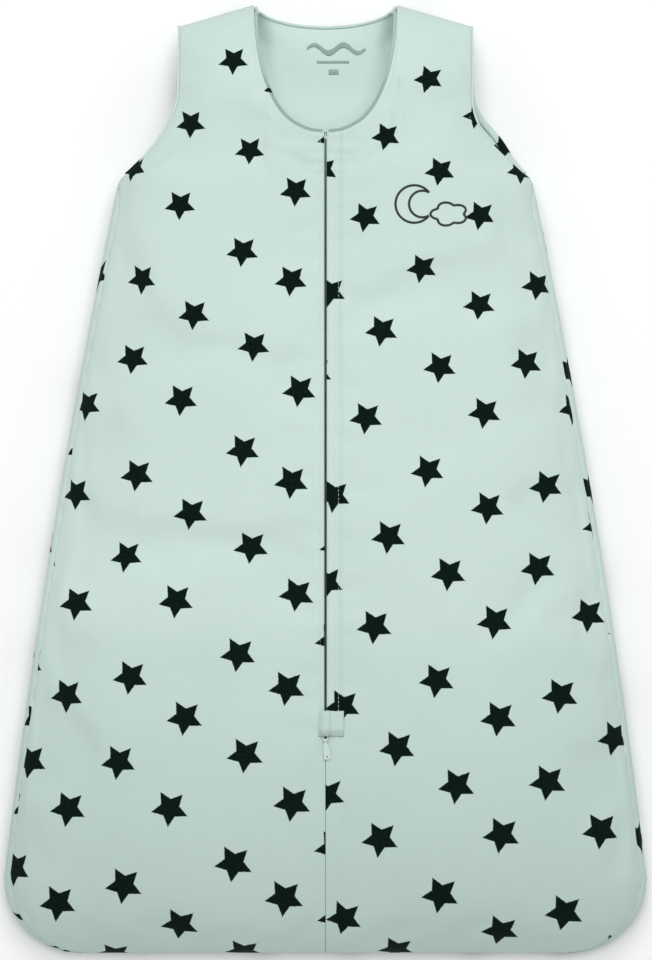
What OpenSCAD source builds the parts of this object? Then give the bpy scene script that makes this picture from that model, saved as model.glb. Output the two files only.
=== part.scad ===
// Baby sleeping bag, sleeveless, with a zip down the middle of the front.
// It lies on its back: +X is the wearer's left, +Y runs from the hem to the
// shoulders, +Z points up out of the zipped front. The origin is under the
// middle of the bag, on the surface it rests on. Left and right are the wearer's.

/* [Bag] */
// Length from the hem to the highest point of the shoulders
bag_len = 758; // [748:1:768]
// Half width at the widest point, just above the hem corners
hem_half_w = 257; // [250:1:262]
// Half width at the underarm
underarm_half_w = 165; // [160:1:170]
// Half width across the shoulder ends
shoulder_half_w = 119; // [116:1:122]
// Radius of the bottom corners, seen from above
corner_r = 60; // [54:1:66]
// Height of the filled-out bag along the zip
loft = 92; // [90:1:96]

/* [Openings] */
// Half width of the neck opening
neck_half_w = 54.5; // [53:0.5:56]
// Depth of the front neckline below the shoulders
neck_drop_front = 99; // [97:1:101]
// Depth of the back neckline below the shoulders
neck_drop_back = 17; // [15:1:20]
// Height of the armhole opening
armhole_depth = 120; // [116:1:124]
// Visible width of the fabric binding on the neck and armhole edges
binding_w = 2.1; // [1.6:0.1:2.4]

/* [Layers] */
// Thickness of the outer jersey
outer_t = 1.2; // [0.8:0.1:1.3]
// Thickness of the wadding
wadding_t = 3.0; // [2:0.1:3]
// Thickness of the lining
lining_t = 0.8; // [0.5:0.1:0.8]
// Free space between two layers
ply_gap = 0.3; // [0.2:0.05:0.3]

/* [Zip] */
// Gap between the two fabric lips over the zip
lip_gap = 2.6; // [2.4:0.1:2.8]
// Distance from the centre line to the outer edge of one zip tape
tape_w = 12; // [10:0.5:12]
// Length of the slider
slider_len = 10; // [9:0.5:11]
// Width of the slider
slider_w = 9; // [8.5:0.1:9.4]
// Length of the pull tab from its pivot
pull_len = 15.5; // [12:0.5:17]
// Radius of the slider's pivot bar
bar_r = 0.8; // [0.7:0.05:0.8]

/* [Hidden] */
$fn = 48;

mint = [0.80, 0.88, 0.855];
lining_colour = [0.78, 0.86, 0.83];
fold_colour = [0.74, 0.84, 0.81];
tape_colour = [0.70, 0.79, 0.76];
coil_colour = [0.45, 0.52, 0.50];

// ---- levels and runs along the bag ----
y_hem = -bag_len / 2;
y_top = bag_len / 2;
shoulder_drop = 18;
y_underarm = y_top - shoulder_drop - armhole_depth;
y_corner = y_hem + corner_r;   // upper end of the bottom corners
// lengths over which each side fills out from the hem and the shoulder seams
front_hem_run = 150;
front_top_run = 95;
back_hem_run = 60;
back_top_run = 50;

// ---- curve shapes ----
side_bow = 26;         // the sides bow out by up to a quarter of this
arm_curve_h = 70;      // height of the curved lower part of the armhole
arm_flare = 0.5;       // extra half width above that curve, ...
arm_flare_run = 50;    // ... fading out over this height
front_arch_pow = 3.2;
neck_pow = 2.3;
back_flat = 0.55;      // this share of the back's half width lies flat
seam_slit = 0.06;      // front and back each stop this far from the seam level

// ---- layers: depths are measured inward from the outer face ----
wadding_depth = outer_t + ply_gap;
lining_depth = wadding_depth + wadding_t + ply_gap;
inside_depth = lining_depth + lining_t;
edge_in = binding_w + 0.35;   // fabric layers stop this far inside a bound edge
panel_slit = 0.05;            // fronts stop this far from the centre and fold lines
part_gap = 0.3;               // slit between parts that move apart

// depth, thickness, distance of the edge beside the zip from the centre line
outer_ply = [0, outer_t, lip_gap / 2];
wadding_ply = [wadding_depth, wadding_t, tape_w + 1.5];
lining_ply = [lining_depth, lining_t, 5.2];

// ---- zip levels ----
zip_z = loft - 3.8;                      // level of the tape
y_zip0 = y_hem + 172;                    // lower end of the tape
y_zip1 = y_top - neck_drop_front - 6;    // upper end of the tape
y_split = y_zip0 + 157;                  // chain above this opens with the two fronts

// ---- fold line of each front, seen from above ----
fold_x0 = 1;
fold_y0 = y_hem + 199;
fold_slope = 0.0906;
fold_free = 11.36;    // cloth this wide next to the line does the bending
function fold_x(y) = fold_x0 + (y - fold_y0) * fold_slope;

// ---- body shape ----
function lerp(a, b, t) = a + (b - a) * t;
function clamp01(t) = max(0, min(1, t));
function smooth(t) = let (u = clamp01(t)) u * u * (3 - 2 * u);
// quarter circle, rising steeply from 0 and levelling off at 1
function quarter(t) = let (u = clamp01(t)) sqrt(max(0, 1 - (1 - u) * (1 - u)));

// height of the side seam and hem seam
function seam_z(y) = 14 + 16 * smooth((y - y_hem) / 130) + 10 * smooth((y - 100) / 200);
// shoulder seam, level across the neck
function shoulder_y(x) = y_top - shoulder_drop
    * max(0, abs(x) - neck_half_w - edge_in) / (shoulder_half_w - neck_half_w - edge_in);
// half width of the bag at height y, for a layer at the given depth
function half_w(y, depth) =
    y < y_corner ? hem_half_w - corner_r
        + sqrt(max(0, pow(corner_r - depth, 2) - pow(y_corner - y, 2))) :
    y < y_underarm ? let (t = (y_underarm - y) / (y_underarm - y_corner))
        underarm_half_w + (hem_half_w - underarm_half_w) * t + side_bow * t * (1 - t) - depth :
    y < y_underarm + arm_curve_h ? shoulder_half_w + arm_flare
        + (underarm_half_w - shoulder_half_w - arm_flare)
        * pow(1 - (y - y_underarm) / arm_curve_h, 1.8) - depth :
    shoulder_half_w - depth
        + arm_flare * max(0, 1 - (y - y_underarm - arm_curve_h) / arm_flare_run);
// edge of a layer: inside the armhole binding above the underarm
function edge_w(y, depth) = half_w(y, depth) - edge_in * clamp01((y - y_underarm + 6) / 8);
// the armhole gapes between the underarm and the shoulder
function gape(y) = 1 - 0.07 * sin(180 * clamp01((y - y_underarm) / armhole_depth));

// share of the full height, by distance from the hem and from the shoulder seam
function fill(x, y, depth, hem_run, top_run) =
    quarter((y - y_hem - depth) / (hem_run - depth))
    * quarter((shoulder_y(x) - depth - y) / (top_run - depth));
// the front's surface at the given depth below its upper face
function front_z(x, y, depth) = let (seam = seam_z(y) + seam_slit)
    seam + (loft - depth - seam) * fill(x, y, depth, front_hem_run, front_top_run)
    * sqrt(max(0, 1 - pow(min(1, abs(x) / half_w(y, depth)) * gape(y), front_arch_pow)));
// the back's surface at the given depth above its lower face
function back_side(s) = s < back_flat ? 1 :
    sqrt(max(0, 1 - pow((min(1, s) - back_flat) / (1 - back_flat), 2.5)));
function back_z(x, y, depth) = let (seam = seam_z(y) - seam_slit)
    seam - (seam - depth) * fill(x, y, depth, back_hem_run, back_top_run)
    * back_side(abs(x) / half_w(y, depth) * gape(y));
function on_front(x, y, depth) = [x, y, front_z(x, y, depth)];
function on_back(x, y, depth) = [x, y, back_z(x, y, depth)];

// front neckline: a deep rounded U, drawn `out` mm outside the neck edge
function neck_y(x, out) = y_top - (neck_drop_front + out)
    * pow(max(0, 1 - pow(abs(x) / (neck_half_w + out), neck_pow)), 1 / neck_pow);
function neck_x(y, out) = y <= y_top - neck_drop_front - out ? 0 : (neck_half_w + out)
    * pow(max(0, 1 - pow((y_top - y) / (neck_drop_front + out), neck_pow)), 1 / neck_pow);
function back_neck_y(x, out) = y_top
    - (neck_drop_back + out) * sqrt(max(0, 1 - pow(x / (neck_half_w + out), 2)));

// ---- rows of grid points, from the hem to the top edge ----
// angles on the hem's quarter circle; the fifth puts a row at the corner's end
hem_angles = [0, 14, 27, 40, acos(1 - corner_r / front_hem_run), 70, 90];
back_hem_t = [0, 0.06, 0.25, 0.58, 1];    // the back's first rows, over back_hem_run
zip_foot = [y_zip0 - 12, y_zip0 - 7];     // where the two fronts part below the zip
body_t = [0.17, 0.34, 0.51, 0.68, 0.84, 0.94, 1];                     // to the underarm
top_t = [0.05, 0.14, 0.26, 0.40, 0.56, 0.70, 0.82, 0.91, 0.97, 1];    // to the top edge
last_row = len(hem_angles) + len(zip_foot) + len(body_t) + len(top_t) - 1;
function rows(y_end, depth) = concat(
    [for (a = hem_angles) y_hem + depth + (front_hem_run - depth) * (1 - cos(a))],
    zip_foot,
    [for (t = body_t) lerp(y_hem + front_hem_run, y_underarm, t)],
    [for (t = top_t) lerp(y_underarm, y_end, t)]);

// a thin solid between two grids of points, given as lists of rows
function quad(a, b, c, d) = [[a, b, c], [a, c, d]];
module sheet(upper, lower) {
    cols = len(upper[0]);
    right = cols - 1;
    row_count = len(upper);
    end = (row_count - 1) * cols;    // first point of the last row
    low = row_count * cols;          // first point of the lower grid
    polyhedron(points = [for (row = upper) each row, for (row = lower) each row], faces = [
        for (i = [0:row_count-2], j = [0:right-1]) let (p = i * cols + j, q = p + cols)
            each concat(quad(p, q, q + 1, p + 1),
                        quad(low + p, low + p + 1, low + q + 1, low + q)),
        for (j = [0:right-1]) each quad(j, j + 1, low + j + 1, low + j),
        for (j = [0:right-1]) let (p = end + j) each quad(p + 1, p, low + p, low + p + 1),
        for (i = [0:row_count-2]) let (p = i * cols, q = p + cols)
            each quad(q, p, low + p, low + q),
        for (i = [0:row_count-2]) let (p = i * cols + right, q = p + cols)
            each quad(p, q, low + q, low + p)
    ], convexity = 8);
}

// ---- back ----
// columns as shares of the half width; those in neck_s lie within the neckline
neck_s = [0.15, 0.28, 0.37, 0.43, 0.465];
back_s = concat(neck_s, [0.482, 0.55, 0.69, 0.81, 0.90, 0.965, 1]);
function both_sides(s) = concat([for (i = [len(s)-1:-1:0]) -s[i]], [0], s);
function back_top(x, depth) = abs(x) < neck_half_w + edge_in - 0.4 ?
    min(back_neck_y(x, edge_in), y_top - depth - 0.5) : shoulder_y(x) - depth;
function back_grid(depth) = [for (i = [0:last_row]) [for (s = both_sides(back_s))
    let (y_end = back_top(s * edge_w(y_top, depth), depth),
         y = i < len(back_hem_t) ? y_hem + depth + (back_hem_run - depth) * back_hem_t[i]
             : rows(y_end, depth)[i])
    on_back(s * edge_w(y, depth), y, depth)]];
module back_layer(ply) sheet(back_grid(ply[0] + ply[1]), back_grid(ply[0]));

// ---- fixed part of one front, on the wearer's left ----
// columns as shares of the way from the inner edge to the side
front_s = [0, 0.12, 0.26, 0.40, 0.54, 0.67, 0.78, 0.87, 0.935, 0.98, 1];
// the inner edge closes to the centre line below the zip
function zip_side_x(x, y) =
    lerp(panel_slit, x, clamp01((y - zip_foot[0]) / (zip_foot[1] - zip_foot[0])));
function front_inner_x(y, zip_x) =
    max(zip_side_x(zip_x, y), fold_x(y) + panel_slit, neck_x(y, edge_in));
function front_grid(depth, zip_x) = [for (i = [0:last_row]) [for (s = front_s)
    let (x_end = lerp(neck_half_w + edge_in, edge_w(y_top, depth), s),
         y = rows(shoulder_y(x_end) - depth, depth)[i])
    on_front(lerp(front_inner_x(y, zip_x), edge_w(y, depth), s), y, depth)]];
module front_layer(ply)
    sheet(front_grid(ply[0], ply[2]), front_grid(ply[0] + ply[1], ply[2]));

// ---- lapel and fold: parts along the fold line, ending at the neckline ----
// Offsets are measured from the fold line towards the zip. An undef inner
// offset makes the inner edge run straight beside the zip.
// height where a line at this offset meets the neckline, found by iteration
function cross_y(offset, y = 300, n = 8) =
    n == 0 ? y : cross_y(offset, neck_y(fold_x(y) - offset, edge_in), n - 1);
function cross_x(offset) = fold_x(cross_y(offset)) - offset;
// height at which a slanted part is w wide
function start_y(zip_x, offset, w) = fold_y0 + (zip_x + offset + w - fold_x0) / fold_slope;
function slant_x(y, zip_x, offset) =
    offset == undef ? zip_x : max(zip_x, fold_x(y) - offset);
function slant_grid(depth, zip_x, inner, outer, last_i, last_j) =
    let (y_start = start_y(zip_x, outer, 1.2),
         xa = inner == undef ? zip_x : cross_x(inner),
         xb = cross_x(outer))
    [for (i = [0:last_i]) [for (j = [0:last_j])
        let (x_end = lerp(xa, xb, j / last_j),
             y_end = neck_y(x_end, edge_in),
             x_in = slant_x(y_end, zip_x, inner),
             s = j == 0 ? 0 : (x_end - x_in) / (fold_x(y_end) - outer - x_in),
             y = lerp(y_start, y_end, i / last_i))
        on_front(lerp(slant_x(y, zip_x, inner), fold_x(y) - outer, s), y, depth)]];
module slant_layer(ply, inner, outer, last_i, last_j)
    sheet(slant_grid(ply[0], ply[2], inner, outer, last_i, last_j),
          slant_grid(ply[0] + ply[1], ply[2], inner, outer, last_i, last_j));
module lapel_layer(ply, last_i) slant_layer(ply, undef, fold_free, last_i, 4);
module fold_layer(ply, last_i) slant_layer(ply, fold_free - part_gap, part_gap, last_i, 3);

// ---- bound edges ----
x_lapel = cross_x(fold_free);    // end of the lapel at the neckline
y_fold = cross_y(0);             // end of the fold line at the neckline
x_fold = fold_x(y_fold);

// strip along the bottom of the front neckline, stepped in x
function neck_low(xa, xb, n, depth) =
    [for (i = [0:n]) let (x = lerp(xa, xb, i / n)) [for (out = [0, binding_w])
        let (u = x * (neck_half_w + out) / (neck_half_w + binding_w))
        on_front(u, neck_y(u, out), depth)]];
module neck_low_strip(xa, xb, n)
    sheet(neck_low(xa, xb, n, 0), neck_low(xa, xb, n, inside_depth));

// strip up the side of the front neckline, stepped in y
neck_side_y = concat([y_fold + 0.5], [for (i = [5:8]) lerp(y_underarm, y_top, top_t[i])]);
function neck_side(depth) = [for (y = neck_side_y) [for (out = [0, binding_w])
    on_front(neck_x(y, out), y, depth)]];

function back_neck_grid(depth) = [for (out = [binding_w, 0]) [for (s = both_sides(neck_s))
    let (x = s * edge_w(y_top, 0) * (neck_half_w + out) / (neck_half_w + edge_in),
         y = min(back_neck_y(x, out), y_top - depth - 0.5 + edge_in - out))
    on_back(x, y, depth)]];

// armhole strip on the front or the back
function arm_y(depth) = [for (i = [0:7])
    lerp(y_underarm, shoulder_y(edge_w(y_top, depth)) - depth, top_t[i])];
function arm_grid(depth, front) = [for (y = arm_y(depth)) [for (inset = [binding_w, 0])
    let (x = half_w(y, depth) - inset) front ? on_front(x, y, depth) : on_back(x, y, depth)]];

// ---- zip ----
tape_x = 2.4;         // inner edge of the tape
tape_t = 0.4;
coil_x = 0.5;         // inner edge of the coil
coil_w = 1.8;
coil_half_h = 1.1;
top_stop_h = 2.4;
stop_len = 2.2;
bottom_stop_size = [5.2, stop_len, 2.6];

module tape(outline) translate([0, 0, zip_z - tape_t / 2]) linear_extrude(tape_t)
    polygon(outline);
module tape_lower() tape([[tape_x, y_zip0], [tape_w, y_zip0],
                          [tape_w, y_split - part_gap], [tape_x, y_split - part_gap]]);
// the upper tape's slanted lower edge follows the lapel
y_tape = start_y(tape_x, fold_free, 0.6);
y_full = start_y(tape_w, fold_free, 0);
module tape_upper() tape([[tape_x, y_tape], [tape_x + 0.6, y_tape], [tape_w, y_full],
                          [tape_w, y_zip1], [tape_x, y_zip1]]);
module coil(ya, yb) translate([coil_x, ya, zip_z - coil_half_h])
    cube([coil_w, yb - ya, 2 * coil_half_h]);
// clamped over the edge of the tape
module top_stop() difference() {
    translate([coil_x, y_zip1 + 0.15, zip_z - top_stop_h / 2])
        cube([2.6, stop_len, top_stop_h]);
    translate([tape_x - 0.1, y_zip1 - 1, zip_z - 0.3]) cube([1, 4, 0.6]);
}

// ---- slider and pull tab ----
slider_y = y_zip0 + 1;     // end of the slider nearest the hem
plate_t = 0.9;
plate_z = 1.3;             // each plate's inner face is this far from the tape level
slot_half_h = 0.45;
flange_w = 1.2;
pivot_y = y_zip0 - 2.2;
pivot_z = loft + 1.75;
arm_h = 1.4;               // height of the arms, and of the block that joins them
arm_t = 0.8;
arm_x = 1.9;               // middle of each arm
arm_end = 1;               // the arms reach this far past the pivot
tab_hub_w = 2.6;
tab_t = 1.2;
tab_angle = 8;

module slider_plate() linear_extrude(plate_t) let (side = slider_w / 2)
    polygon([[-side + 0.8, 0], [side - 0.8, 0], [side, 1.2],
             [side, slider_len - 1.6], [side - 1.4, slider_len],
             [-side + 1.4, slider_len], [-side, slider_len - 1.6], [-side, 1.2]]);

// ---- embroidery: outlines run once round as t goes from 0 to 1 ----
motif_x = 84;
motif_y = y_top - 160;
stroke_w = 1.6;
stroke_end = 0.985;    // each stroke stops just short of closing
function arc(centre, r, a) = [centre[0] + r * cos(a), centre[1] + r * sin(a)];
// crescent: the outer arc, then the inner arc back
function moon(t) = t < 0.6 ? arc([-13, 1], 15, lerp(38, 322, t / 0.6))
    : arc([-6.5, 1], 10.65, lerp(300, 60, (t - 0.6) / 0.4));
// ellipse with five lobes
function cloud_r(t) = 0.75 + 0.25 * abs(sin(t * 360 * 2.5));
function cloud(t) =
    [15 + 15 * cos(360 * t) * cloud_r(t), -7 + 9.5 * sin(360 * t) * cloud_r(t)];
// raised line along a curve, lying just above the front
function stroke_grid(curve, n, lift) = [for (i = [0:n])
    let (t = stroke_end * i / n,
         p = curve(t),
         along = curve(t + 0.004) - curve(t - 0.004),
         across = [-along[1], along[0]] / norm(along) * stroke_w / 2)
    [for (side = [1, -1])
        let (x = motif_x + p[0] + side * across[0], y = motif_y + p[1] + side * across[1])
        [x, y, front_z(x, y, 0) + lift]]];
module stroke(curve, n) sheet(stroke_grid(curve, n, 0.75), stroke_grid(curve, n, 0.15));

// ---- print, label and shoulder tape ----
function print_grid(depth) = [for (i = [0:5]) [for (j = [0:5])
    on_back(lerp(-17, 33, j / 5), y_top - 62 + 32 * i / 5, depth)]];
label_x = 205;    // outer end of the label
label_y = -160;
label_size = [34, 40, 0.8];
shoulder_tape_t = 0.8;

// ---- nodes ----
module back_outer() color(mint) back_layer(outer_ply);
module back_wadding() color("white") back_layer(wadding_ply);
module back_lining() color(lining_colour) back_layer(lining_ply);

module front_left_outer() color(mint) front_layer(outer_ply);
module front_left_wadding() color("white") front_layer(wadding_ply);
module front_left_lining() color(lining_colour) front_layer(lining_ply);
module front_right_outer() mirror([1, 0, 0]) front_left_outer();
module front_right_wadding() mirror([1, 0, 0]) front_left_wadding();
module front_right_lining() mirror([1, 0, 0]) front_left_lining();

// bending cloth between the lapel and the fixed front, with its neck binding
module front_left_fold() color(fold_colour) {
    fold_layer(outer_ply, 12);
    fold_layer(wadding_ply, 9);
    fold_layer(lining_ply, 12);
    neck_low_strip(x_lapel + part_gap, x_fold - 2.6, 3);
}
module front_right_fold() mirror([1, 0, 0]) front_left_fold();

module lapel_left_outer() color(mint) lapel_layer(outer_ply, 9);
module lapel_left_wadding() color("white") lapel_layer(wadding_ply, 7);
module lapel_left_lining() color(lining_colour) lapel_layer(lining_ply, 9);
module lapel_right_outer() mirror([1, 0, 0]) lapel_left_outer();
module lapel_right_wadding() mirror([1, 0, 0]) lapel_left_wadding();
module lapel_right_lining() mirror([1, 0, 0]) lapel_left_lining();

module zip_tape_left_lower() color(tape_colour) tape_lower();
module zip_tape_left_upper() color(tape_colour) tape_upper();
module zip_tape_right_lower() mirror([1, 0, 0]) zip_tape_left_lower();
module zip_tape_right_upper() mirror([1, 0, 0]) zip_tape_left_upper();
module zip_coil_left_lower() color(coil_colour) coil(y_zip0, y_split - part_gap);
module zip_coil_left_upper() color(coil_colour) coil(y_split, y_zip1);
module zip_coil_right_lower() mirror([1, 0, 0]) zip_coil_left_lower();
module zip_coil_right_upper() mirror([1, 0, 0]) zip_coil_left_upper();
module zip_top_stop_left() color("silver") top_stop();
module zip_top_stop_right() mirror([1, 0, 0]) zip_top_stop_left();
module zip_bottom_stop() color("silver")
    translate([-bottom_stop_size[0] / 2, y_zip0 - 2.4, zip_z - bottom_stop_size[2] / 2])
        cube(bottom_stop_size);

// fabric tunnel over the parked slider, sewn down along both sides
module zip_garage() color(mint)
    translate([4.4, slider_y, 0]) rotate([90, 0, 0]) mirror([0, 0, 1])
    linear_extrude(20.5) difference() {
        polygon([[-10.4, loft + 0.3], [-10.4, loft + 1.6], [-7.4, loft + 4.9],
                 [7.4, loft + 4.9], [10.4, loft + 1.6], [10.4, loft + 0.3]]);
        polygon([[-9.2, loft], [-9.2, loft + 1.1], [-6.9, loft + 3.7],
                 [6.9, loft + 3.7], [9.2, loft + 1.1], [9.2, loft]]);
    }

module zip_slider() color([0.62, 0.66, 0.65]) translate([0, slider_y, 0]) {
    translate([0, 0, zip_z + plate_z]) slider_plate();
    translate([0, 0, zip_z - plate_z - plate_t]) slider_plate();
    // side flanges, with a slot between them for the tape
    for (side = [-1, 1], z = [zip_z + slot_half_h, zip_z - plate_z])
        translate([side * (slider_w / 2 - flange_w / 2) - flange_w / 2, 1.2, z])
            cube([flange_w, slider_len - 2.8, plate_z - slot_half_h]);
    // wedge between the two coils
    translate([-0.4, slider_len - 4, zip_z - 1.4]) cube([0.8, 4, 2.8]);
    // neck up through the lips
    neck_z = zip_z + plate_z + plate_t - 0.1;
    translate([-1.1, 1, neck_z]) cube([2.2, 4, pivot_z + arm_h / 2 - neck_z]);
    // two arms towards the hem, the block that joins them, and the pivot bar
    for (side = [-1, 1])
        translate([side * arm_x - arm_t / 2, pivot_y - slider_y - arm_end, pivot_z - arm_h / 2])
            cube([arm_t, 4.6, arm_h]);
    translate([-arm_x - arm_t / 2, 0.1, pivot_z - arm_h / 2])
        cube([2 * arm_x + arm_t, 1.4, arm_h]);
    translate([-2.2, pivot_y - slider_y, pivot_z]) rotate([0, 90, 0])
        cylinder(r = bar_r, h = 4.4, $fn = 32);
}

// hub round the pivot bar, a short shank, and a tab with a small hole
module zip_pull_tab() color([0.80, 0.86, 0.85]) translate([0, pivot_y, pivot_z]) difference() {
    union() {
        rotate([0, 90, 0]) translate([0, 0, -tab_hub_w / 2])
            cylinder(r = bar_r + 0.75, h = tab_hub_w, $fn = 48);
        translate([-tab_hub_w / 2, -3.2, -tab_t / 2]) cube([tab_hub_w, 3.2, tab_t]);
        translate([0, -2.8, -tab_t / 2]) rotate([0, 0, tab_angle])
            linear_extrude(tab_t) difference() {
                hull() {
                    translate([-1.9, -1]) square([3.8, 1]);
                    translate([-1.2, -pull_len + 4.6]) circle(1.6);
                    translate([1.2, -pull_len + 4.6]) circle(1.6);
                }
                translate([0, -pull_len + 5]) circle(0.9);
            }
    }
    translate([-2, 0, 0]) rotate([0, 90, 0]) cylinder(r = bar_r + 0.06, h = 4, $fn = 48);
}

// binding round the neck, in the parts that stay still and the parts that open
module neck_binding_back() color(mint) sheet(back_neck_grid(inside_depth), back_neck_grid(0));
module neck_binding_left() color(mint) sheet(neck_side(0), neck_side(inside_depth));
module neck_binding_right() mirror([1, 0, 0]) neck_binding_left();
module lapel_left_binding() color(mint) neck_low_strip(lip_gap / 2, x_lapel - part_gap, 8);
module lapel_right_binding() mirror([1, 0, 0]) lapel_left_binding();
module armhole_binding_left() color(mint) {
    sheet(arm_grid(0, true), arm_grid(inside_depth, true));
    sheet(arm_grid(inside_depth, false), arm_grid(0, false));
}
module armhole_binding_right() mirror([1, 0, 0]) armhole_binding_left();

// stay tape inside the shoulder seam
module shoulder_tape_left() color("white")
    translate([0, 0, seam_z(y_top) - shoulder_tape_t / 2]) linear_extrude(shoulder_tape_t)
    let (xa = neck_half_w + 5, xb = shoulder_half_w - 12,
         ya = shoulder_y(xa) - inside_depth, yb = shoulder_y(xb) - inside_depth)
    polygon([[xa, ya - 0.6], [xb, yb - 0.6], [xb, yb - 7], [xa, ya - 7]]);
module shoulder_tape_right() mirror([1, 0, 0]) shoulder_tape_left();

// plain blank print inside the back neck
module neck_print() color([0.62, 0.67, 0.66])
    sheet(print_grid(inside_depth + 1.1), print_grid(inside_depth + 0.9));
// label at the left side, near seam level
module care_label() color("white")
    translate([label_x - label_size[0], label_y, seam_z(label_y + label_size[1] / 2) - 1])
        cube(label_size);
module chest_embroidery() color([0.25, 0.35, 0.33]) {
    stroke(function (t) moon(t), 30);
    stroke(function (t) cloud(t), 40);
}

back_outer();
back_wadding();
back_lining();
front_left_outer();
front_left_wadding();
front_left_lining();
front_right_outer();
front_right_wadding();
front_right_lining();
front_left_fold();
front_right_fold();
lapel_left_outer();
lapel_left_wadding();
lapel_left_lining();
lapel_right_outer();
lapel_right_wadding();
lapel_right_lining();
zip_tape_left_lower();
zip_tape_left_upper();
zip_tape_right_lower();
zip_tape_right_upper();
zip_coil_left_lower();
zip_coil_left_upper();
zip_coil_right_lower();
zip_coil_right_upper();
zip_top_stop_left();
zip_top_stop_right();
zip_bottom_stop();
zip_garage();
zip_slider();
zip_pull_tab();
neck_binding_back();
neck_binding_left();
neck_binding_right();
lapel_left_binding();
lapel_right_binding();
armhole_binding_left();
armhole_binding_right();
shoulder_tape_left();
shoulder_tape_right();
neck_print();
care_label();
chest_embroidery();
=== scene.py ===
import bpy
import math
import numpy as np
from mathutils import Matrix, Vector


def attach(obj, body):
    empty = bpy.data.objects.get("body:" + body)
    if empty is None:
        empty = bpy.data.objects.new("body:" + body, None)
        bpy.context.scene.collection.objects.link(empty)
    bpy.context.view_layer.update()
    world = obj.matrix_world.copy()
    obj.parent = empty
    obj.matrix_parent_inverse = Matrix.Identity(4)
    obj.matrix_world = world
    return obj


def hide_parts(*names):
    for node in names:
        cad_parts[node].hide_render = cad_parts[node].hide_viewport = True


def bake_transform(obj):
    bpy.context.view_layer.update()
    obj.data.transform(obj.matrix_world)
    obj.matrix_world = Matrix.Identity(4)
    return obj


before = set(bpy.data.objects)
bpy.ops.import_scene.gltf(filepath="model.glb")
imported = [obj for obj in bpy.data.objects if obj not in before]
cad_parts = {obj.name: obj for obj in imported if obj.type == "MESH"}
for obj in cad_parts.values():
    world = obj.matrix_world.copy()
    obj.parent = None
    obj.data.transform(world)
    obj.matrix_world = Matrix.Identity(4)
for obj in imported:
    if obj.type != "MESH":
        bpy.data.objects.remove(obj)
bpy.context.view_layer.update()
scene = bpy.context.scene
scene.view_settings.view_transform = "Standard"
scene.view_settings.look = "None"
rng = np.random.default_rng(7)

# ------------------------------------------------------------------ the bag's form, in mm, row frame
BAG_LEN = 758.0
Y_HEM, Y_TOP = -BAG_LEN / 2, BAG_LEN / 2
HEM_W, UA_W, SH_W, CR, LOFT = 257.0, 165.0, 119.0, 60.0, 92.0
NECK_W, NECK_F, NECK_B, ARM = 54.5, 99.0, 17.0, 120.0
DROP = 18.0
Y_UA = Y_TOP - DROP - ARM
Y_CN = Y_HEM + CR
BIND = 2.1
EDGE = BIND + 0.35
LIP, LINX, WADX = 1.0, 5.2, 13.5
ZIPZ = LOFT - 3.8
Y_Z0, Y_Z1 = Y_HEM + 172, Y_TOP - NECK_F - 6
FX0, FY0, FK = 1.0, Y_HEM + 199, 0.0906
D_WAD, D_LIN, D_ALL = 1.5, 4.8, 5.6


def ss(t):
    t = np.clip(t, 0, 1)
    return t * t * (3 - 2 * t)


def quarter(t):
    t = np.clip(t, 0, 1)
    return np.sqrt(np.maximum(0, 1 - (1 - t) ** 2))


def lerp(a, b, t):
    return a + (b - a) * t


def seam_z(y):
    return 14 + 16 * ss((y - Y_HEM) / 130) + 10 * ss((y - 100) / 200)


def ysh(x):
    return Y_TOP - DROP * np.maximum(0, np.abs(x) - NECK_W - EDGE) / (SH_W - NECK_W - EDGE)


def half_w(y, d=0.0):
    y = np.asarray(y, float)
    corner = HEM_W - CR + np.sqrt(np.maximum(0, (CR - d) ** 2 - (Y_CN - y) ** 2))
    t = (Y_UA - y) / (Y_UA - Y_CN)
    side = UA_W + (HEM_W - UA_W) * t + 26 * t * (1 - t) - d
    u = np.clip((y - Y_UA) / 70, 0, 1)
    arm = SH_W + 0.5 + (UA_W - SH_W - 0.5) * (1 - u) ** 1.8 - d
    top = SH_W + 0.5 * np.maximum(0, 1 - (y - Y_UA - 70) / 50) - d
    return np.where(y < Y_CN, corner, np.where(y < Y_UA, side, np.where(y < Y_UA + 70, arm, top)))


def edge_w(y, d=0.0):
    return half_w(y, d) - EDGE * np.clip((y - Y_UA + 6) / 8, 0, 1)


def gape(y):
    return 1 - 0.07 * np.sin(np.pi * np.clip((y - Y_UA) / ARM, 0, 1))


def zf(x, y, d=0.0):
    s = seam_z(y) + 0.06
    lat = np.sqrt(np.maximum(0, 1 - (np.minimum(1, np.abs(x) / half_w(y, d)) * gape(y)) ** 3.2))
    return s + (LOFT - d - s) * quarter((y - Y_HEM - d) / (150 - d)) * quarter((ysh(x) - d - y) / (95 - d)) * lat


def back_side(s):
    return np.where(s < 0.55, 1.0, np.sqrt(np.maximum(0, 1 - (np.clip((np.minimum(1, s) - 0.55) / 0.45, 0, 1)) ** 2.5)))


def zb(x, y, d=0.0):
    s = seam_z(y) - 0.06
    return s - (s - d) * quarter((y - Y_HEM - d) / (60 - d)) * quarter((ysh(x) - d - y) / (50 - d)) * back_side(
        np.abs(x) / half_w(y, d) * gape(y))


def neck_y(x, a=0.0):
    return Y_TOP - (NECK_F + a) * np.maximum(0, 1 - (np.abs(x) / (NECK_W + a)) ** 2.3) ** (1 / 2.3)


def back_neck_y(x, a=0.0):
    return Y_TOP - (NECK_B + a) * np.sqrt(np.maximum(0, 1 - (x / (NECK_W + a)) ** 2))


def fold_x(y):
    return FX0 + (y - FY0) * FK


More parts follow.
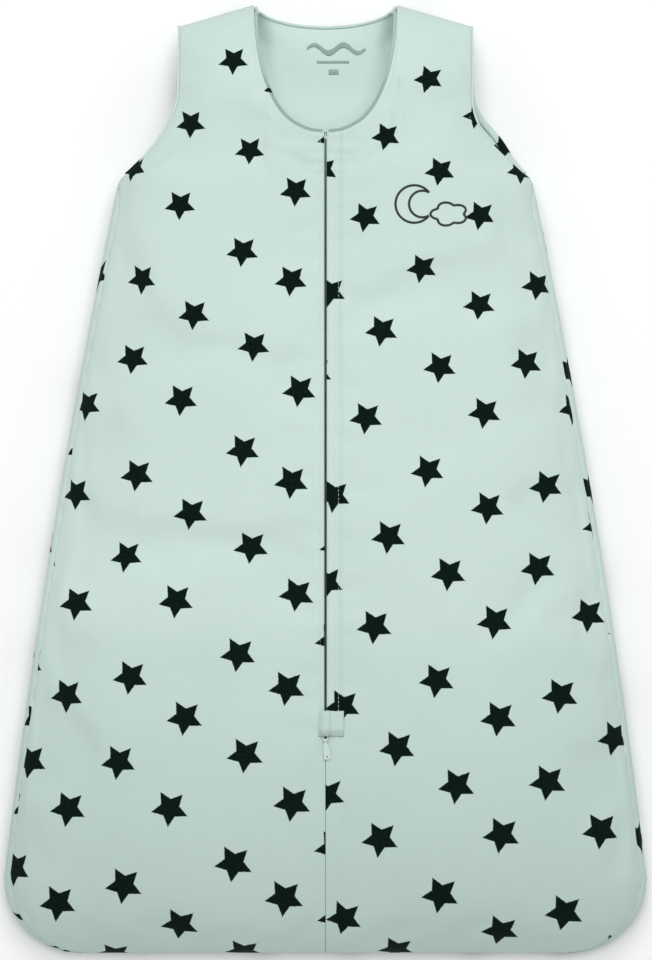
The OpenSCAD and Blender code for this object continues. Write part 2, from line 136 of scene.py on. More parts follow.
# ------------------------------------------------------------------ front panel parameters
QZ = 0.12          # share of the columns kept at a constant distance from the zip
ZBAND = 20.0
QN = 0.50          # where the neck corner is, as a share of the other columns
R_SEAM = 3.4       # the back wraps this far over the edge


def x0_of(y, xi):
    t = np.clip((y - Y_Z0 + 12) / 5, 0, 1)
    return 0.12 + (xi - 0.12) * t


def cb_of(r):      # spacing across the body
    return 1 - (1 - r) ** 1.9


def ct_of(r, y):   # spacing at the top: along the U, then along the shoulder
    w = edge_w(Y_TOP) - LIP - ZBAND
    cn = (NECK_W + EDGE - LIP - ZBAND) / w
    a = np.clip(r / QN, 0, 1)
    th0 = math.asin(((ZBAND + LIP) / (NECK_W + EDGE)) ** (2.3 / 2))
    xx = (NECK_W + EDGE) * np.sin(lerp(th0, math.pi / 2, a)) ** (2 / 2.3)
    low = (xx - LIP - ZBAND) / w
    b = np.clip((r - QN) / (1 - QN), 0, 1)
    return np.where(r < QN, low, lerp(cn, 1, 1 - (1 - b) ** 1.25))


def front_xy(q, v, xi=LIP, d=0.0):
    """q 0 at the zip, 1 at the side; v 0 at the hem, 1 at the body's hem line, 2 at the underarm, 3 at the top. Returns x, y grids."""
    Q, V = np.meshgrid(q, v)
    r = np.clip((Q - QZ) / (1 - QZ), 0, 1)
    o = ZBAND * np.clip(Q / QZ, 0, 1)
    ct = ct_of(r, 0)
    xt = xi + o + (edge_w(Y_TOP, d) - xi - ZBAND) * ct * (Q > QZ)
    yt = np.where(xt < NECK_W + EDGE - 1e-6, neck_y(xt, EDGE), ysh(xt) - d)
    yh = Y_HEM + d + (150 - d) * (1 - np.cos(np.clip(V, 0, 1) * math.pi / 2))
    yb = lerp(Y_HEM + 150, Y_UA, np.clip(V - 1, 0, 1))
    yu = lerp(Y_UA, yt, np.sin(np.clip(V - 2, 0, 1) * math.pi / 2))
    Y = np.where(V <= 1, yh, np.where(V <= 2, yb, yu))
    k = ss((Y - 40) / np.maximum(1, yt - 40))
    C = lerp(cb_of(r), ct, k)
    x0 = x0_of(Y, xi)
    X = x0 + o + np.where(Q > QZ, (edge_w(Y, d) - x0 - ZBAND) * C, 0)
    return X, Y


def catmull(D, ri, ci):
    """D on a grid, sampled at fractional row and column indices."""
    def axis0(A, t):
        n = A.shape[0]
        i = np.clip(np.floor(t).astype(int), 0, n - 2)
        f = (t - i)[:, None, None]
        p0, p1, p2, p3 = A[np.clip(i - 1, 0, n - 1)], A[i], A[i + 1], A[np.clip(i + 2, 0, n - 1)]
        return 0.5 * (2 * p1 + (p2 - p0) * f + (2 * p0 - 5 * p1 + 4 * p2 - p3) * f ** 2 + (3 * p1 - p0 - 3 * p2 + p3) * f ** 3)
    A = axis0(D, ri)
    return np.swapaxes(axis0(np.swapaxes(A, 0, 1), ci), 0, 1)


def grid_faces(n, m, off=0, flip=False):
    i, j = np.meshgrid(np.arange(n - 1), np.arange(m - 1), indexing="ij")
    a = (i * m + j).ravel() + off
    f = np.stack([a, a + 1, a + 1 + m, a + m], 1)
    return f[:, ::-1] if flip else f


def make_mesh(name, co, faces, mats=(), uv=None, smooth=True, mat_idx=None, uv2=None):
    me = bpy.data.meshes.new(name)
    me.from_pydata([tuple(c) for c in np.asarray(co, float) * 0.001], [], [tuple(int(i) for i in f) for f in faces])
    me.update()
    for m in mats:
        me.materials.append(m)
    if smooth:
        me.polygons.foreach_set("use_smooth", np.ones(len(me.polygons), bool))
    if uv is not None:
        lay = me.uv_layers.new(name="cloth")
        idx = np.zeros(len(me.loops), np.int32)
        me.loops.foreach_get("vertex_index", idx)
        lay.data.foreach_set("uv", (np.asarray(uv, float)[idx] * 0.001).astype(np.float32).ravel())
    if uv2 is not None:
        lay = me.uv_layers.new(name="print")
        idx = np.zeros(len(me.loops), np.int32)
        me.loops.foreach_get("vertex_index", idx)
        lay.data.foreach_set("uv", (np.asarray(uv2, float)[idx] * 0.001).astype(np.float32).ravel())
    if mat_idx is not None:
        me.polygons.foreach_set("material_index", np.asarray(mat_idx, np.int32))
    o = bpy.data.objects.new(name, me)
    scene.collection.objects.link(o)
    return o


def solid_grid(name, top, bot, mats, uv=None, mirror=False, uv2=None):
    """A closed thin solid from two grids of points (n, m, 3)."""
    n, m = top.shape[:2]
    N = n * m
    co = np.concatenate([top.reshape(-1, 3), bot.reshape(-1, 3)])
    ft = grid_faces(n, m)
    fb = grid_faces(n, m, N, True)
    i = np.arange(n - 1)
    j = np.arange(m - 1)
    side = [np.stack([j + 1, j, j + N, j + 1 + N], 1),
            np.stack([(n - 1) * m + j, (n - 1) * m + j + 1, (n - 1) * m + j + 1 + N, (n - 1) * m + j + N], 1),
            np.stack([i * m, (i + 1) * m, (i + 1) * m + N, i * m + N], 1),
            np.stack([(i + 1) * m + m - 1, i * m + m - 1, i * m + m - 1 + N, (i + 1) * m + m - 1 + N], 1)]
    faces = np.concatenate([ft, fb] + side)
    if mirror:
        co = co * np.array([-1, 1, 1])
        faces = faces[:, ::-1]
    if uv is not None:
        u = uv.reshape(-1, 2)
        if mirror:
            u = u * np.array([-1, 1])
        uv = np.concatenate([u, u])
    idx = None
    if len(mats) > 1:
        idx = np.zeros(len(faces), int)
        idx[len(ft):] = 1
    if uv2 is not None:
        u = uv2.reshape(-1, 2)
        uv2 = np.concatenate([u, u])
    return make_mesh(name, co, faces, mats, uv, True, idx, uv2)


# ------------------------------------------------------------------ materials
def new_mat(name):
    m = bpy.data.materials.new(name)
    m.use_nodes = True
    nt = m.node_tree
    nt.nodes.clear()
    out = nt.nodes.new("ShaderNodeOutputMaterial")
    b = nt.nodes.new("ShaderNodeBsdfPrincipled")
    nt.links.new(b.outputs[0], out.inputs[0])
    return m, nt, b


class G:
    """Short helpers for wiring nodes."""
    def __init__(self, nt):
        self.nt = nt

    def val(self, x, sock):
        if isinstance(x, (int, float)):
            sock.default_value = x
        elif isinstance(x, (tuple, list)):
            sock.default_value = x
        else:
            self.nt.links.new(x, sock)

    def math(self, op, a, b=0.0, c=0.0, clamp=False):
        n = self.nt.nodes.new("ShaderNodeMath")
        n.operation = op
        n.use_clamp = clamp
        self.val(a, n.inputs[0])
        self.val(b, n.inputs[1])
        self.val(c, n.inputs[2])
        return n.outputs[0]

    def node(self, kind, **kw):
        n = self.nt.nodes.new(kind)
        for k, v in kw.items():
            if k.startswith("in_"):
                self.val(v, n.inputs[k[3:].replace("_", " ")])
            else:
                setattr(n, k, v)
        return n

    def mix(self, f, a, b):
        n = self.nt.nodes.new("ShaderNodeMix")
        n.data_type = "RGBA"
        self.val(f, n.inputs[0])
        self.val(a, n.inputs[6])
        self.val(b, n.inputs[7])
        return n.outputs[2]

    def smooth(self, x, lo, hi, a=0.0, b=1.0):
        n = self.nt.nodes.new("ShaderNodeMapRange")
        n.interpolation_type = "SMOOTHSTEP"
        self.val(x, n.inputs["Value"])
        for k, v in (("From Min", lo), ("From Max", hi), ("To Min", a), ("To Max", b)):
            self.val(v, n.inputs[k])
        return n.outputs[0]


def lin(r, g, b):
    f = lambda c: ((c / 255 + 0.055) / 1.055) ** 2.4 if c / 255 > 0.04045 else c / 255 / 12.92
    return (f(r), f(g), f(b), 1.0)


MINT = lin(203, 224, 217)
# the jersey's darker tone for its mottling, also used as painted shade towards the hem
MINT_D = lin(186, 208, 200)
# painted light: the paler mint laid over the middle of the printed panels
MINT_PAINTED_LIGHT = lin(214, 234, 227)
INK = lin(4, 17, 12)


def uv_mm(g):
    uv = g.node("ShaderNodeUVMap", uv_map="cloth").outputs[0]
    sep = g.node("ShaderNodeSeparateXYZ", in_Vector=uv)
    return g.math("MULTIPLY", sep.outputs[0], 1000.0), g.math("MULTIPLY", sep.outputs[1], 1000.0)


def knit_height(g, u, v, pitch=1.15):
    """Fine stocking-stitch columns of jersey, as a height 0..1."""
    cu = g.math("MULTIPLY", u, 1 / pitch)
    cv = g.math("MULTIPLY", v, 1 / (pitch * 0.78))
    fu = g.math("ABSOLUTE", g.math("SUBTRACT", g.math("FRACT", cu), 0.5))     # 0 middle, .5 edge
    rise = g.math("MULTIPLY", fu, 0.9)
    fv = g.math("FRACT", g.math("ADD", cv, rise))
    loop = g.math("SINE", g.math("MULTIPLY", fv, math.pi))
    leg = g.math("COSINE", g.math("MULTIPLY", g.math("SUBTRACT", fu, 0.25), math.pi * 3.4))
    return g.math("MULTIPLY", g.math("MAXIMUM", leg, 0.0), g.math("ADD", g.math("MULTIPLY", loop, 0.55), 0.45))


# the eight stars of the print's repeat, mm from the first, y up
STARS = [(0, 0), (42.7, -32.1), (89.0, -60.9), (124.0, -98.2), (-9.1, -66.7), (31.4, -103.1), (79.5, -145.4), (120.5, -8.3)]
STAR_R, STAR_IN = 13.9, 7.05
REPEAT = {1: (9.2, -15.2, 167.2, 9.6, -6.4, 166.4), -1: (-150.0, 3.2, 172.0, 5.6, 4.0, 163.2), 0: (20.0, 18.0, 168.0, 6.0, -4.0, 165.0)}
# how the cloth is eased as it is sewn and laid out: cubic in x and y
EASE = {1: ((2.28, -0.99, -6.69, -7.94, -2.54, 4.16, 2.85, -0.24, 2.96, -0.55), (-1.74, 0.59, 8.31, 4.21, 2.28, 4.69, 6.03, 0.11, -0.42, -0.5)),
        -1: ((-3.39, 4.02, 6.09, 4.64, -9.65, 5.68, 0.19, -5.7, -1.82, 2.65), (-3.38, -1.79, 5.72, 2.2, -3.47, -11.74, -5.42, 1.03, 0.43, -0.31))}


# small pulls of the cloth at the zip: where, and by how much
TUCKS = {1: ((-5.2, 245.6, 3.6, 3.6), (-1.5, -82.0, 3.9, -2.7), (-0.4, -251.0, -2.8, -4.0)), -1: ((-33.2, 312.8, -4.0, 0.0),)}
# stars cut off at a seam, of which only a tip shows
TIPS = {-1: ((6.0, -128.8), (6.0, 272.8), (6.4, -295.2), (9.6, -53.6), (9.2, -351.2), (-56.8, 387.2)), 1: (), 2: ((143.6, 266.4),), 0: ()}


def print_uv(x, y, side):
    u, v = x / 200.0, y / 300.0
    t = [u ** i * v ** j for i in range(4) for j in range(4 - i)]
    cx, cy = EASE[side]
    pu, pv = x + sum(a * b for a, b in zip(cx, t)), y + sum(a * b for a, b in zip(cy, t))
    for cx_, cy_, dx, dy in TUCKS.get(side, ()):
        f = np.exp(-((x - cx_) ** 2 + (y - cy_) ** 2) / (2 * 17.0 ** 2))
        pu, pv = pu - dx * f, pv - dy * f
    return np.stack([pu, pv], -1)


def star_print(g, side, tips=None):
    """Mask of the star print; side 1 is the wearer's left front, -1 the right front, 0 the back."""
    ox, oy, hx, hy, vx, vy = REPEAT[side]
    lay = g.node("ShaderNodeUVMap", uv_map="print").outputs[0]
    sep = g.node("ShaderNodeSeparateXYZ", in_Vector=lay)
    u, v = g.math("MULTIPLY", sep.outputs[0], 1000.0), g.math("MULTIPLY", sep.outputs[1], 1000.0)
    det = hx * vy - vx * hy
    pu, pv = g.math("SUBTRACT", u, ox), g.math("SUBTRACT", v, oy)
    a = g.math("ADD", g.math("MULTIPLY", pu, vy / det), g.math("MULTIPLY", pv, -vx / det))
    b = g.math("ADD", g.math("MULTIPLY", pu, -hy / det), g.math("MULTIPLY", pv, hx / det))
    edge_n = g.node("ShaderNodeTexNoise", in_Scale=900.0, in_Detail=2.0)
    g.nt.links.new(lay, edge_n.inputs["Vector"])
    jag = g.math("MULTIPLY", g.math("SUBTRACT", edge_n.outputs[0], 0.5), 0.9)
    total = None
    A = (STAR_R, 0.0)
    B = (STAR_IN * math.cos(math.radians(36)), STAR_IN * math.sin(math.radians(36)))
    nx, ny = (B[1] - A[1]), -(B[0] - A[0])
    ln = math.hypot(nx, ny)
    nx, ny = nx / ln, ny / ln
    if nx * A[0] + ny * A[1] < 0:
        nx, ny = -nx, -ny
    cc = nx * A[0] + ny * A[1]
    size = g.math("SUBTRACT", 1.0, g.math("MULTIPLY", v, 0.000235 if side else 0.0))
    places = []
    for sx, sy in (STARS if tips is None else ()):
        sa = (sx * vy - sy * vx) / det
        sb = (-sx * hy + sy * hx) / det
        da = g.math("WRAP", g.math("SUBTRACT", a, sa), 0.5, -0.5)
        db = g.math("WRAP", g.math("SUBTRACT", b, sb), 0.5, -0.5)
        places.append((g.math("ADD", g.math("MULTIPLY", da, hx), g.math("MULTIPLY", db, vx)),
                       g.math("ADD", g.math("MULTIPLY", da, hy), g.math("MULTIPLY", db, vy))))
    for sx, sy in TIPS[side if tips is None else tips]:
        tu, tv = print_uv(np.array([sx]), np.array([sy]), side)[0]
        places.append((g.math("SUBTRACT", u, float(tu)), g.math("SUBTRACT", v, float(tv))))
    for k, (lx, ly) in enumerate(places):
        rho = g.math("SQRT", g.math("ADD", g.math("MULTIPLY", lx, lx), g.math("MULTIPLY", ly, ly)))
        rho = g.math("DIVIDE", rho, size)
        th = g.math("ARCTAN2", ly, lx)
        rot = math.radians(46.8 + (k % 3 - 1) * 1.0)
        fold = g.math("ABSOLUTE", g.math("WRAP", g.math("SUBTRACT", th, rot), math.radians(36), -math.radians(36)))
        sd = g.math("SUBTRACT", g.math("ADD", g.math("MULTIPLY", g.math("MULTIPLY", rho, g.math("COSINE", fold)), nx),
                                        g.math("MULTIPLY", g.math("MULTIPLY", rho, g.math("SINE", fold)), ny)), cc)
        total = sd if total is None else g.math("MINIMUM", total, sd)
    total = g.math("ADD", total, jag)
    return g.smooth(total, -0.28, 0.28, 1.0, 0.0)


def jersey(name, printed=None, colour=MINT, dark=MINT_D, tips=None, fade=False, mouth_shadow_y=None):
    m, nt, b = new_mat(name)
    g = G(nt)
    u, v = uv_mm(g)
    tc = g.node("ShaderNodeUVMap", uv_map="cloth").outputs[0]
    n1 = g.node("ShaderNodeTexNoise", in_Scale=7.0, in_Detail=3.0)
    n2 = g.node("ShaderNodeTexNoise", in_Scale=420.0, in_Detail=4.0, in_Roughness=0.7)
    n3 = g.node("ShaderNodeTexNoise", in_Scale=1900.0, in_Detail=2.0)
    for n in (n1, n2, n3):
        nt.links.new(tc, n.inputs["Vector"])
    knit = knit_height(g, u, v)
    f = g.smooth(n1.outputs[0], 0.3, 0.7)
    base = g.mix(g.math("MULTIPLY", f, 0.35), colour, dark)
    base = g.mix(g.math("MULTIPLY", g.smooth(n2.outputs[0], 0.35, 0.75), 0.22), base, dark)
    # painted shade: darker in the hollows between the knit's loops
    base = g.mix(g.math("MULTIPLY", g.math("SUBTRACT", 1.0, knit), 0.20), base, dark)
    if mouth_shadow_y is not None:      # painted shadow at its lower end
        base = g.mix(g.smooth(v, mouth_shadow_y, mouth_shadow_y + 8.0, 0.65, 0.0), base, lin(140, 160, 152))
    if fade:         # painted light: paler by the amount held in the print layer, near the neck opening
        edge = g.node("ShaderNodeSeparateXYZ", in_Vector=g.node("ShaderNodeUVMap", uv_map="print").outputs[0])
        base = g.mix(g.math("MULTIPLY", edge.outputs[0], 0.4), base, lin(233, 255, 247))
    if printed is not None:
        # painted light: a little lighter over the middle; painted shade: deeper towards the hem
        mid = g.math("MULTIPLY", g.smooth(v, -150.0, -105.0), g.smooth(v, 150.0, 270.0, 1.0, 0.25))
        base = g.mix(g.math("MULTIPLY", mid, 0.36), base, MINT_PAINTED_LIGHT)
        low = g.math("MULTIPLY", g.smooth(v, -245.0, -165.0, 1.0, 0.0), g.smooth(v, -350.0, -300.0, 0.45, 1.0))
        base = g.mix(g.math("MULTIPLY", low, 0.5), base, MINT_D)
        mask = star_print(g, printed, tips)
        ink = g.mix(g.smooth(n2.outputs[0], 0.3, 0.8), INK, lin(14, 34, 27))
        ink = g.mix(g.math("MULTIPLY", g.smooth(n3.outputs[0], 0.55, 0.75), 0.18), ink, lin(44, 70, 61))
        base = g.mix(mask, base, ink)
        clear = g.math("SUBTRACT", 1.0, mask)
        nt.links.new(g.math("ADD", 0.02, g.math("MULTIPLY", clear, 0.12)), b.inputs["Sheen Weight"])
        nt.links.new(g.math("ADD", 0.06, g.math("MULTIPLY", clear, 0.14)), b.inputs["Specular IOR Level"])
    nt.links.new(base, b.inputs["Base Color"])
    rough = g.math("ADD", 0.80, g.math("MULTIPLY", n2.outputs[0], 0.15))
    nt.links.new(rough, b.inputs["Roughness"])
    b.inputs["Specular IOR Level"].default_value = 0.2
    b.inputs["Sheen Weight"].default_value = 0.14
    b.inputs["Sheen Roughness"].default_value = 0.45
    b.inputs["Sheen Tint"].default_value = (0.92, 1.0, 0.97, 1)
    h = g.math("ADD", g.math("MULTIPLY", knit, 0.75), g.math("MULTIPLY", n3.outputs[0], 0.35))
    bump = g.node("ShaderNodeBump", in_Strength=0.55, in_Distance=0.00028)
    nt.links.new(h, bump.inputs["Height"])
    bump2 = g.node("ShaderNodeBump", in_Strength=0.35, in_Distance=0.0012)
    n4 = g.node("ShaderNodeTexNoise", in_Scale=60.0, in_Detail=3.0)
    nt.links.new(tc, n4.inputs["Vector"])
    nt.links.new(n4.outputs[0], bump2.inputs["Height"])
    nt.links.new(bump.outputs[0], bump2.inputs["Normal"])
    nt.links.new(bump2.outputs[0], b.inputs["Normal"])
    return m


def object_coord_mat(name, col_a, col_b, rough=0.7, scale=600.0, bump_d=0.0002, metal=0.0, sheen=0.0, weave=None):
    m, nt, b = new_mat(name)
    g = G(nt)
    geo = g.node("ShaderNodeTexCoord").outputs["Object"]
    n = g.node("ShaderNodeTexNoise", in_Scale=scale, in_Detail=4.0)
    n0 = g.node("ShaderNodeTexNoise", in_Scale=scale * 0.06, in_Detail=3.0)
    nt.links.new(geo, n.inputs["Vector"])
    nt.links.new(geo, n0.inputs["Vector"])
    h = n.outputs[0]
    if weave:
        sep = g.node("ShaderNodeSeparateXYZ", in_Vector=geo)
        a = g.math("MULTIPLY", sep.outputs[0], 2 * math.pi / weave[0])
        c = g.math("MULTIPLY", sep.outputs[1], 2 * math.pi / weave[1])
        w = g.math("SINE", g.math("ADD", g.math("MULTIPLY", g.math("SINE", a), 1.6), c))
        w2 = g.math("MULTIPLY", g.math("SINE", a), g.math("SINE", c))
        h = g.math("ADD", g.math("ADD", g.math("MULTIPLY", w, 0.3), g.math("MULTIPLY", w2, 0.3)), g.math("MULTIPLY", n.outputs[0], 0.3))
    # where the height is a weave, the colour is paler on its raised threads and darker in its hollows, painted shade;
    # where it is plain noise, the colour is random tone
    f = g.smooth(h, 0.2, 0.8)
    base = g.mix(f, col_b, col_a)
    base = g.mix(g.math("MULTIPLY", g.smooth(n0.outputs[0], 0.35, 0.7), 0.3), base, col_b)
    nt.links.new(base, b.inputs["Base Color"])
    r = g.math("ADD", rough - 0.08, g.math("MULTIPLY", n.outputs[0], 0.16))
    nt.links.new(r, b.inputs["Roughness"])
    b.inputs["Metallic"].default_value = metal
    b.inputs["Sheen Weight"].default_value = sheen
    bump = g.node("ShaderNodeBump", in_Strength=0.5, in_Distance=bump_d)
    nt.links.new(h, bump.inputs["Height"])
    nt.links.new(bump.outputs[0], b.inputs["Normal"])
    return m


M_LEFT = jersey("jersey_print_left", 1)
M_RIGHT = jersey("jersey_print_right", -1)
M_BACK = jersey("jersey_print_back", 0)
# the lining's own plain mint, made paler as painted light against the shade inside the bag
M_LINING = jersey("jersey_lining", None, colour=lin(224, 245, 237), dark=lin(208, 230, 222))
# painted light: the back lining, lightened further near the neck opening where it lies in shade
M_LINING_B = jersey("jersey_lining_back", None, colour=lin(226, 246, 239), dark=lin(211, 232, 225), fade=True)
M_BIND = jersey("jersey_binding", None)
# painted shadow: the fronts' neck edges get a dark tone where the neckline throws its shade
M_NECK_SHADOW = {s_: jersey("jersey_neck_shadow_" + n_, s_, colour=lin(148, 167, 160), dark=lin(132, 150, 143)) for s_, n_ in ((1, "left"), (-1, "right"))}
M_ARM = {1: jersey("jersey_arm_left", 1, tips=2), -1: M_RIGHT}
# the garage cloth is a shade darker than the jersey as painted shade, with a painted shadow across its lower end
M_GARAGE_SHADED = jersey("jersey_garage_shaded", None, colour=lin(199, 220, 213), dark=lin(181, 202, 194), mouth_shadow_y=Y_Z0 + 1.0)
M_THREAD = object_coord_mat("thread_mint", lin(214, 234, 226), lin(176, 200, 191), 0.6, 2500.0, 0.0001, sheen=0.2)
M_EMB = object_coord_mat("thread_dark", lin(18, 40, 34), lin(5, 18, 14), 0.45, 2500.0, 0.0001, sheen=0.3)
M_TAPE = object_coord_mat("tape_woven", lin(150, 176, 168), lin(112, 138, 130), 0.75, 900.0, 0.00025, weave=(0.0011, 0.0009))
M_COIL = object_coord_mat("coil_nylon", lin(96, 122, 114), lin(56, 78, 72), 0.38, 1500.0, 0.00004)
M_METAL = object_coord_mat("slider_paint", lin(176, 196, 190), lin(140, 160, 154), 0.35, 1800.0, 0.00003, metal=0.15)
M_TAB = object_coord_mat("tab_paint", lin(198, 217, 210), lin(178, 199, 192), 0.40, 1400.0, 0.00004)
M_STOP = object_coord_mat("stop_metal", lin(104, 120, 114), lin(66, 80, 75), 0.4, 2200.0, 0.00003, metal=0.4)
M_PRINT = object_coord_mat("neck_ink", lin(142, 164, 157), lin(160, 182, 175), 0.55, 1200.0, 0.00005)
M_LABEL = object_coord_mat("label_satin", lin(244, 245, 243), lin(226, 228, 226), 0.45, 900.0, 0.0001, sheen=0.3, weave=(0.0006, 0.0005))
M_STAY = object_coord_mat("stay_tape", lin(240, 240, 236), lin(216, 216, 210), 0.8, 900.0, 0.0002, weave=(0.001, 0.0008))


# ------------------------------------------------------------------ cloth simulation of one panel
def simulate(P, pin, seed, grow=0.03, frames=24, cap=4.6, push=1.2):
    """P is an (n, m, 3) grid in mm; pin an (n, m) array 0..1. Returns the capped displacement in mm."""
    n, m = P.shape[:2]
    o = make_mesh("sim_panel", P.reshape(-1, 3), grid_faces(n, m))
    vg = o.vertex_groups.new(name="pin")
    w = pin.ravel()
    for i in np.nonzero(w > 0.001)[0]:
        vg.add([int(i)], float(w[i]), "REPLACE")
    r = np.random.default_rng(seed)
    md = o.modifiers.new("cloth", "CLOTH")
    cs = md.settings
    cs.quality = 5
    cs.mass = 0.25
    cs.tension_stiffness = 18
    cs.compression_stiffness = 18
    cs.shear_stiffness = 8
    cs.bending_stiffness = 0.45
    cs.tension_damping = 8
    cs.compression_damping = 8
    cs.shear_damping = 8
    cs.bending_damping = 0.8
    cs.air_damping = 2.0
    cs.vertex_group_mass = "pin"
    cs.pin_stiffness = 1.0
    cs.shrink_min = -grow
    cs.use_pressure = True
    cs.uniform_pressure_force = push
    cs.effector_weights.gravity = 0
    md.collision_settings.use_collision = False
    # a little unevenness to start from
    co = P.reshape(-1, 3).copy()
    bump = r.normal(0, 0.35, n * m) * (1 - w)
    co[:, 2] += bump
    o.data.vertices.foreach_set("co", (co * 0.001).astype(np.float32).ravel())
    o.data.update()
    scene.frame_start, scene.frame_end = 1, frames
    md.point_cache.frame_start, md.point_cache.frame_end = 1, frames
    for f in range(1, frames + 1):
        scene.frame_set(f)
    dg = bpy.context.evaluated_depsgraph_get()
    ev = o.evaluated_get(dg)
    out = np.zeros(n * m * 3, np.float32)
    ev.data.vertices.foreach_get("co", out)
    scene.frame_set(1)
    D = (out.reshape(-1, 3) * 1000.0 - P.reshape(-1, 3)).reshape(n, m, 3)
    bpy.data.objects.remove(o)
    D[~np.isfinite(D)] = 0
    for _ in range(2):     # settle single-cell noise
        E = D.copy()
        E[1:-1, 1:-1] = 0.5 * D[1:-1, 1:-1] + 0.125 * (D[:-2, 1:-1] + D[2:, 1:-1] + D[1:-1, :-2] + D[1:-1, 2:])
        D = E
    L = np.linalg.norm(D, axis=2, keepdims=True)
    D = D * (cap * np.tanh(L / cap) / np.maximum(L, 1e-6))
    return D * (1 - w.reshape(n, m))[..., None]


def normals(P):
    du = np.gradient(P, axis=1)
    dv = np.gradient(P, axis=0)
    n = np.cross(du, dv)
    return n / np.maximum(np.linalg.norm(n, axis=2, keepdims=True), 1e-9)




# ------------------------------------------------------------------ fronts
def front_offset(x, y, side):
    """Height of the fine relief on a front: lips, the zip placket, seam lines, puckers. x is the distance from the middle."""
    h = np.zeros_like(x)
    up = ss((y - (Y_Z0 - 2)) / 8)
    zipy = ss((y - (Y_Z0 + 14)) / 10)
    # rounded lip
    h -= 1.0 * np.exp(-((x - LIP) / 0.9) ** 2) * zipy
    if side > 0:
        w = 12.6
        h += (0.25 + 0.75 * ss((x - 4.0) / 5)) * (1 - ss((x - w + 0.9) / 1.2)) * up
        h -= 1.15 * np.exp(-((x - w - 0.35) / 0.85) ** 2) * up
        line = w - 2.2
    else:
        w = 5.6
        h += 0.35 * (1 - ss((x - w + 1.0) / 1.6)) * up
        h -= 0.35 * np.exp(-((x - w - 0.6) / 0.9) ** 2) * up
        line = w - 1.4
    h -= 0.35 * np.exp(-((x - line) / 0.55) ** 2) * up
    # puckers drawn up by the stitching
    ph = y / 8.3 * 2 * math.pi + 1.7 * np.sin(y / 31.0) + 0.9 * np.sin(y / 13.7 + 2)
    h += 0.28 * np.sin(ph) * np.exp(-(np.maximum(0, x - w) / 7.0) ** 2) * up * ss((x - 1.5) / 2)
    ph2 = y / 21.0 * 2 * math.pi + 2.1 * np.sin(y / 57.0 + side)
    h += 0.45 * np.sin(ph2) * np.exp(-((x - w - 9) / 12.0) ** 2) * up
    # seam in the middle below the zip
    low = 1 - ss((y - (Y_Z0 - 8)) / 6)
    h -= 0.4 * np.exp(-(x / 1.3) ** 2) * low
    h += 0.25 * np.sin(y / 9.0 * 2 * math.pi + np.sin(y / 17)) * np.exp(-((x - 4) / 5.0) ** 2) * low
    return h


def edge_relief(t, amp=0.9, wid=1.1):
    """Cloth rolling down into a seam, t mm away from it."""
    return -amp * np.exp(-(t / wid) ** 2)


q_near = np.array([0, .22, .5, .9, 1.4, 2.0, 2.8, 3.8, 4.8, 5.8, 6.8, 8.0, 9.3, 10.3, 11.0, 11.6, 12.2, 12.8, 13.5, 14.6, 16, 18, 20]) / ZBAND * QZ
rr = np.concatenate([np.linspace(0, 1, 64)[1:]])
q_far = QZ + (1 - QZ) * rr
Q_FIN = np.concatenate([q_near, q_far])
V_FIN = np.concatenate([np.linspace(0, 1, 30), np.linspace(1, 2, 84)[1:], np.linspace(2, 3, 40)[1:]])
Q_SIM = np.concatenate([np.linspace(0, QZ, 4), QZ + (1 - QZ) * np.linspace(0, 1, 34)[1:]])
V_SIM = np.concatenate([np.linspace(0, 1, 18), np.linspace(1, 2, 46)[1:], np.linspace(2, 3, 22)[1:]])


def frac_index(src, dst):
    return np.interp(dst, src, np.arange(len(src)))


def seam_strip(y):
    """Width of the back's strip that shows on the front, at the side seam."""
    return R_SEAM * (1 - ss((y - (Y_UA - 22)) / 18)) + 0.12


def squeeze(X, Y, q):
    """Ends the front panel at the side seam line instead of the silhouette."""
    w = edge_w(Y)
    s = seam_strip(Y) * (Y < Y_UA - 2)
    x_in = w - 70.0
    f = np.clip((X - x_in) / np.maximum(w - x_in, 1), 0, 1)
    return np.where(X > x_in, x_in + f * (w - s - x_in), X)


def front_surface(q, v, d, D=None, side=1):
    X, Y = front_xy(q, v, LIP, d)
    Xs = squeeze(X, Y, q)
    Z = zf(Xs, Y, d)
    P = np.stack([Xs, Y, Z], 2)
    return P


def arm_in(y):
    """How far the left front's armhole edge is drawn in."""
    return 3.6 * np.exp(-((y - 282) / 20.0) ** 2)


def arm_out(y):
    """How far the back's left armhole edge stands out beyond it."""
    return 6.0 * np.exp(-((y - 271) / 17.0) ** 2)


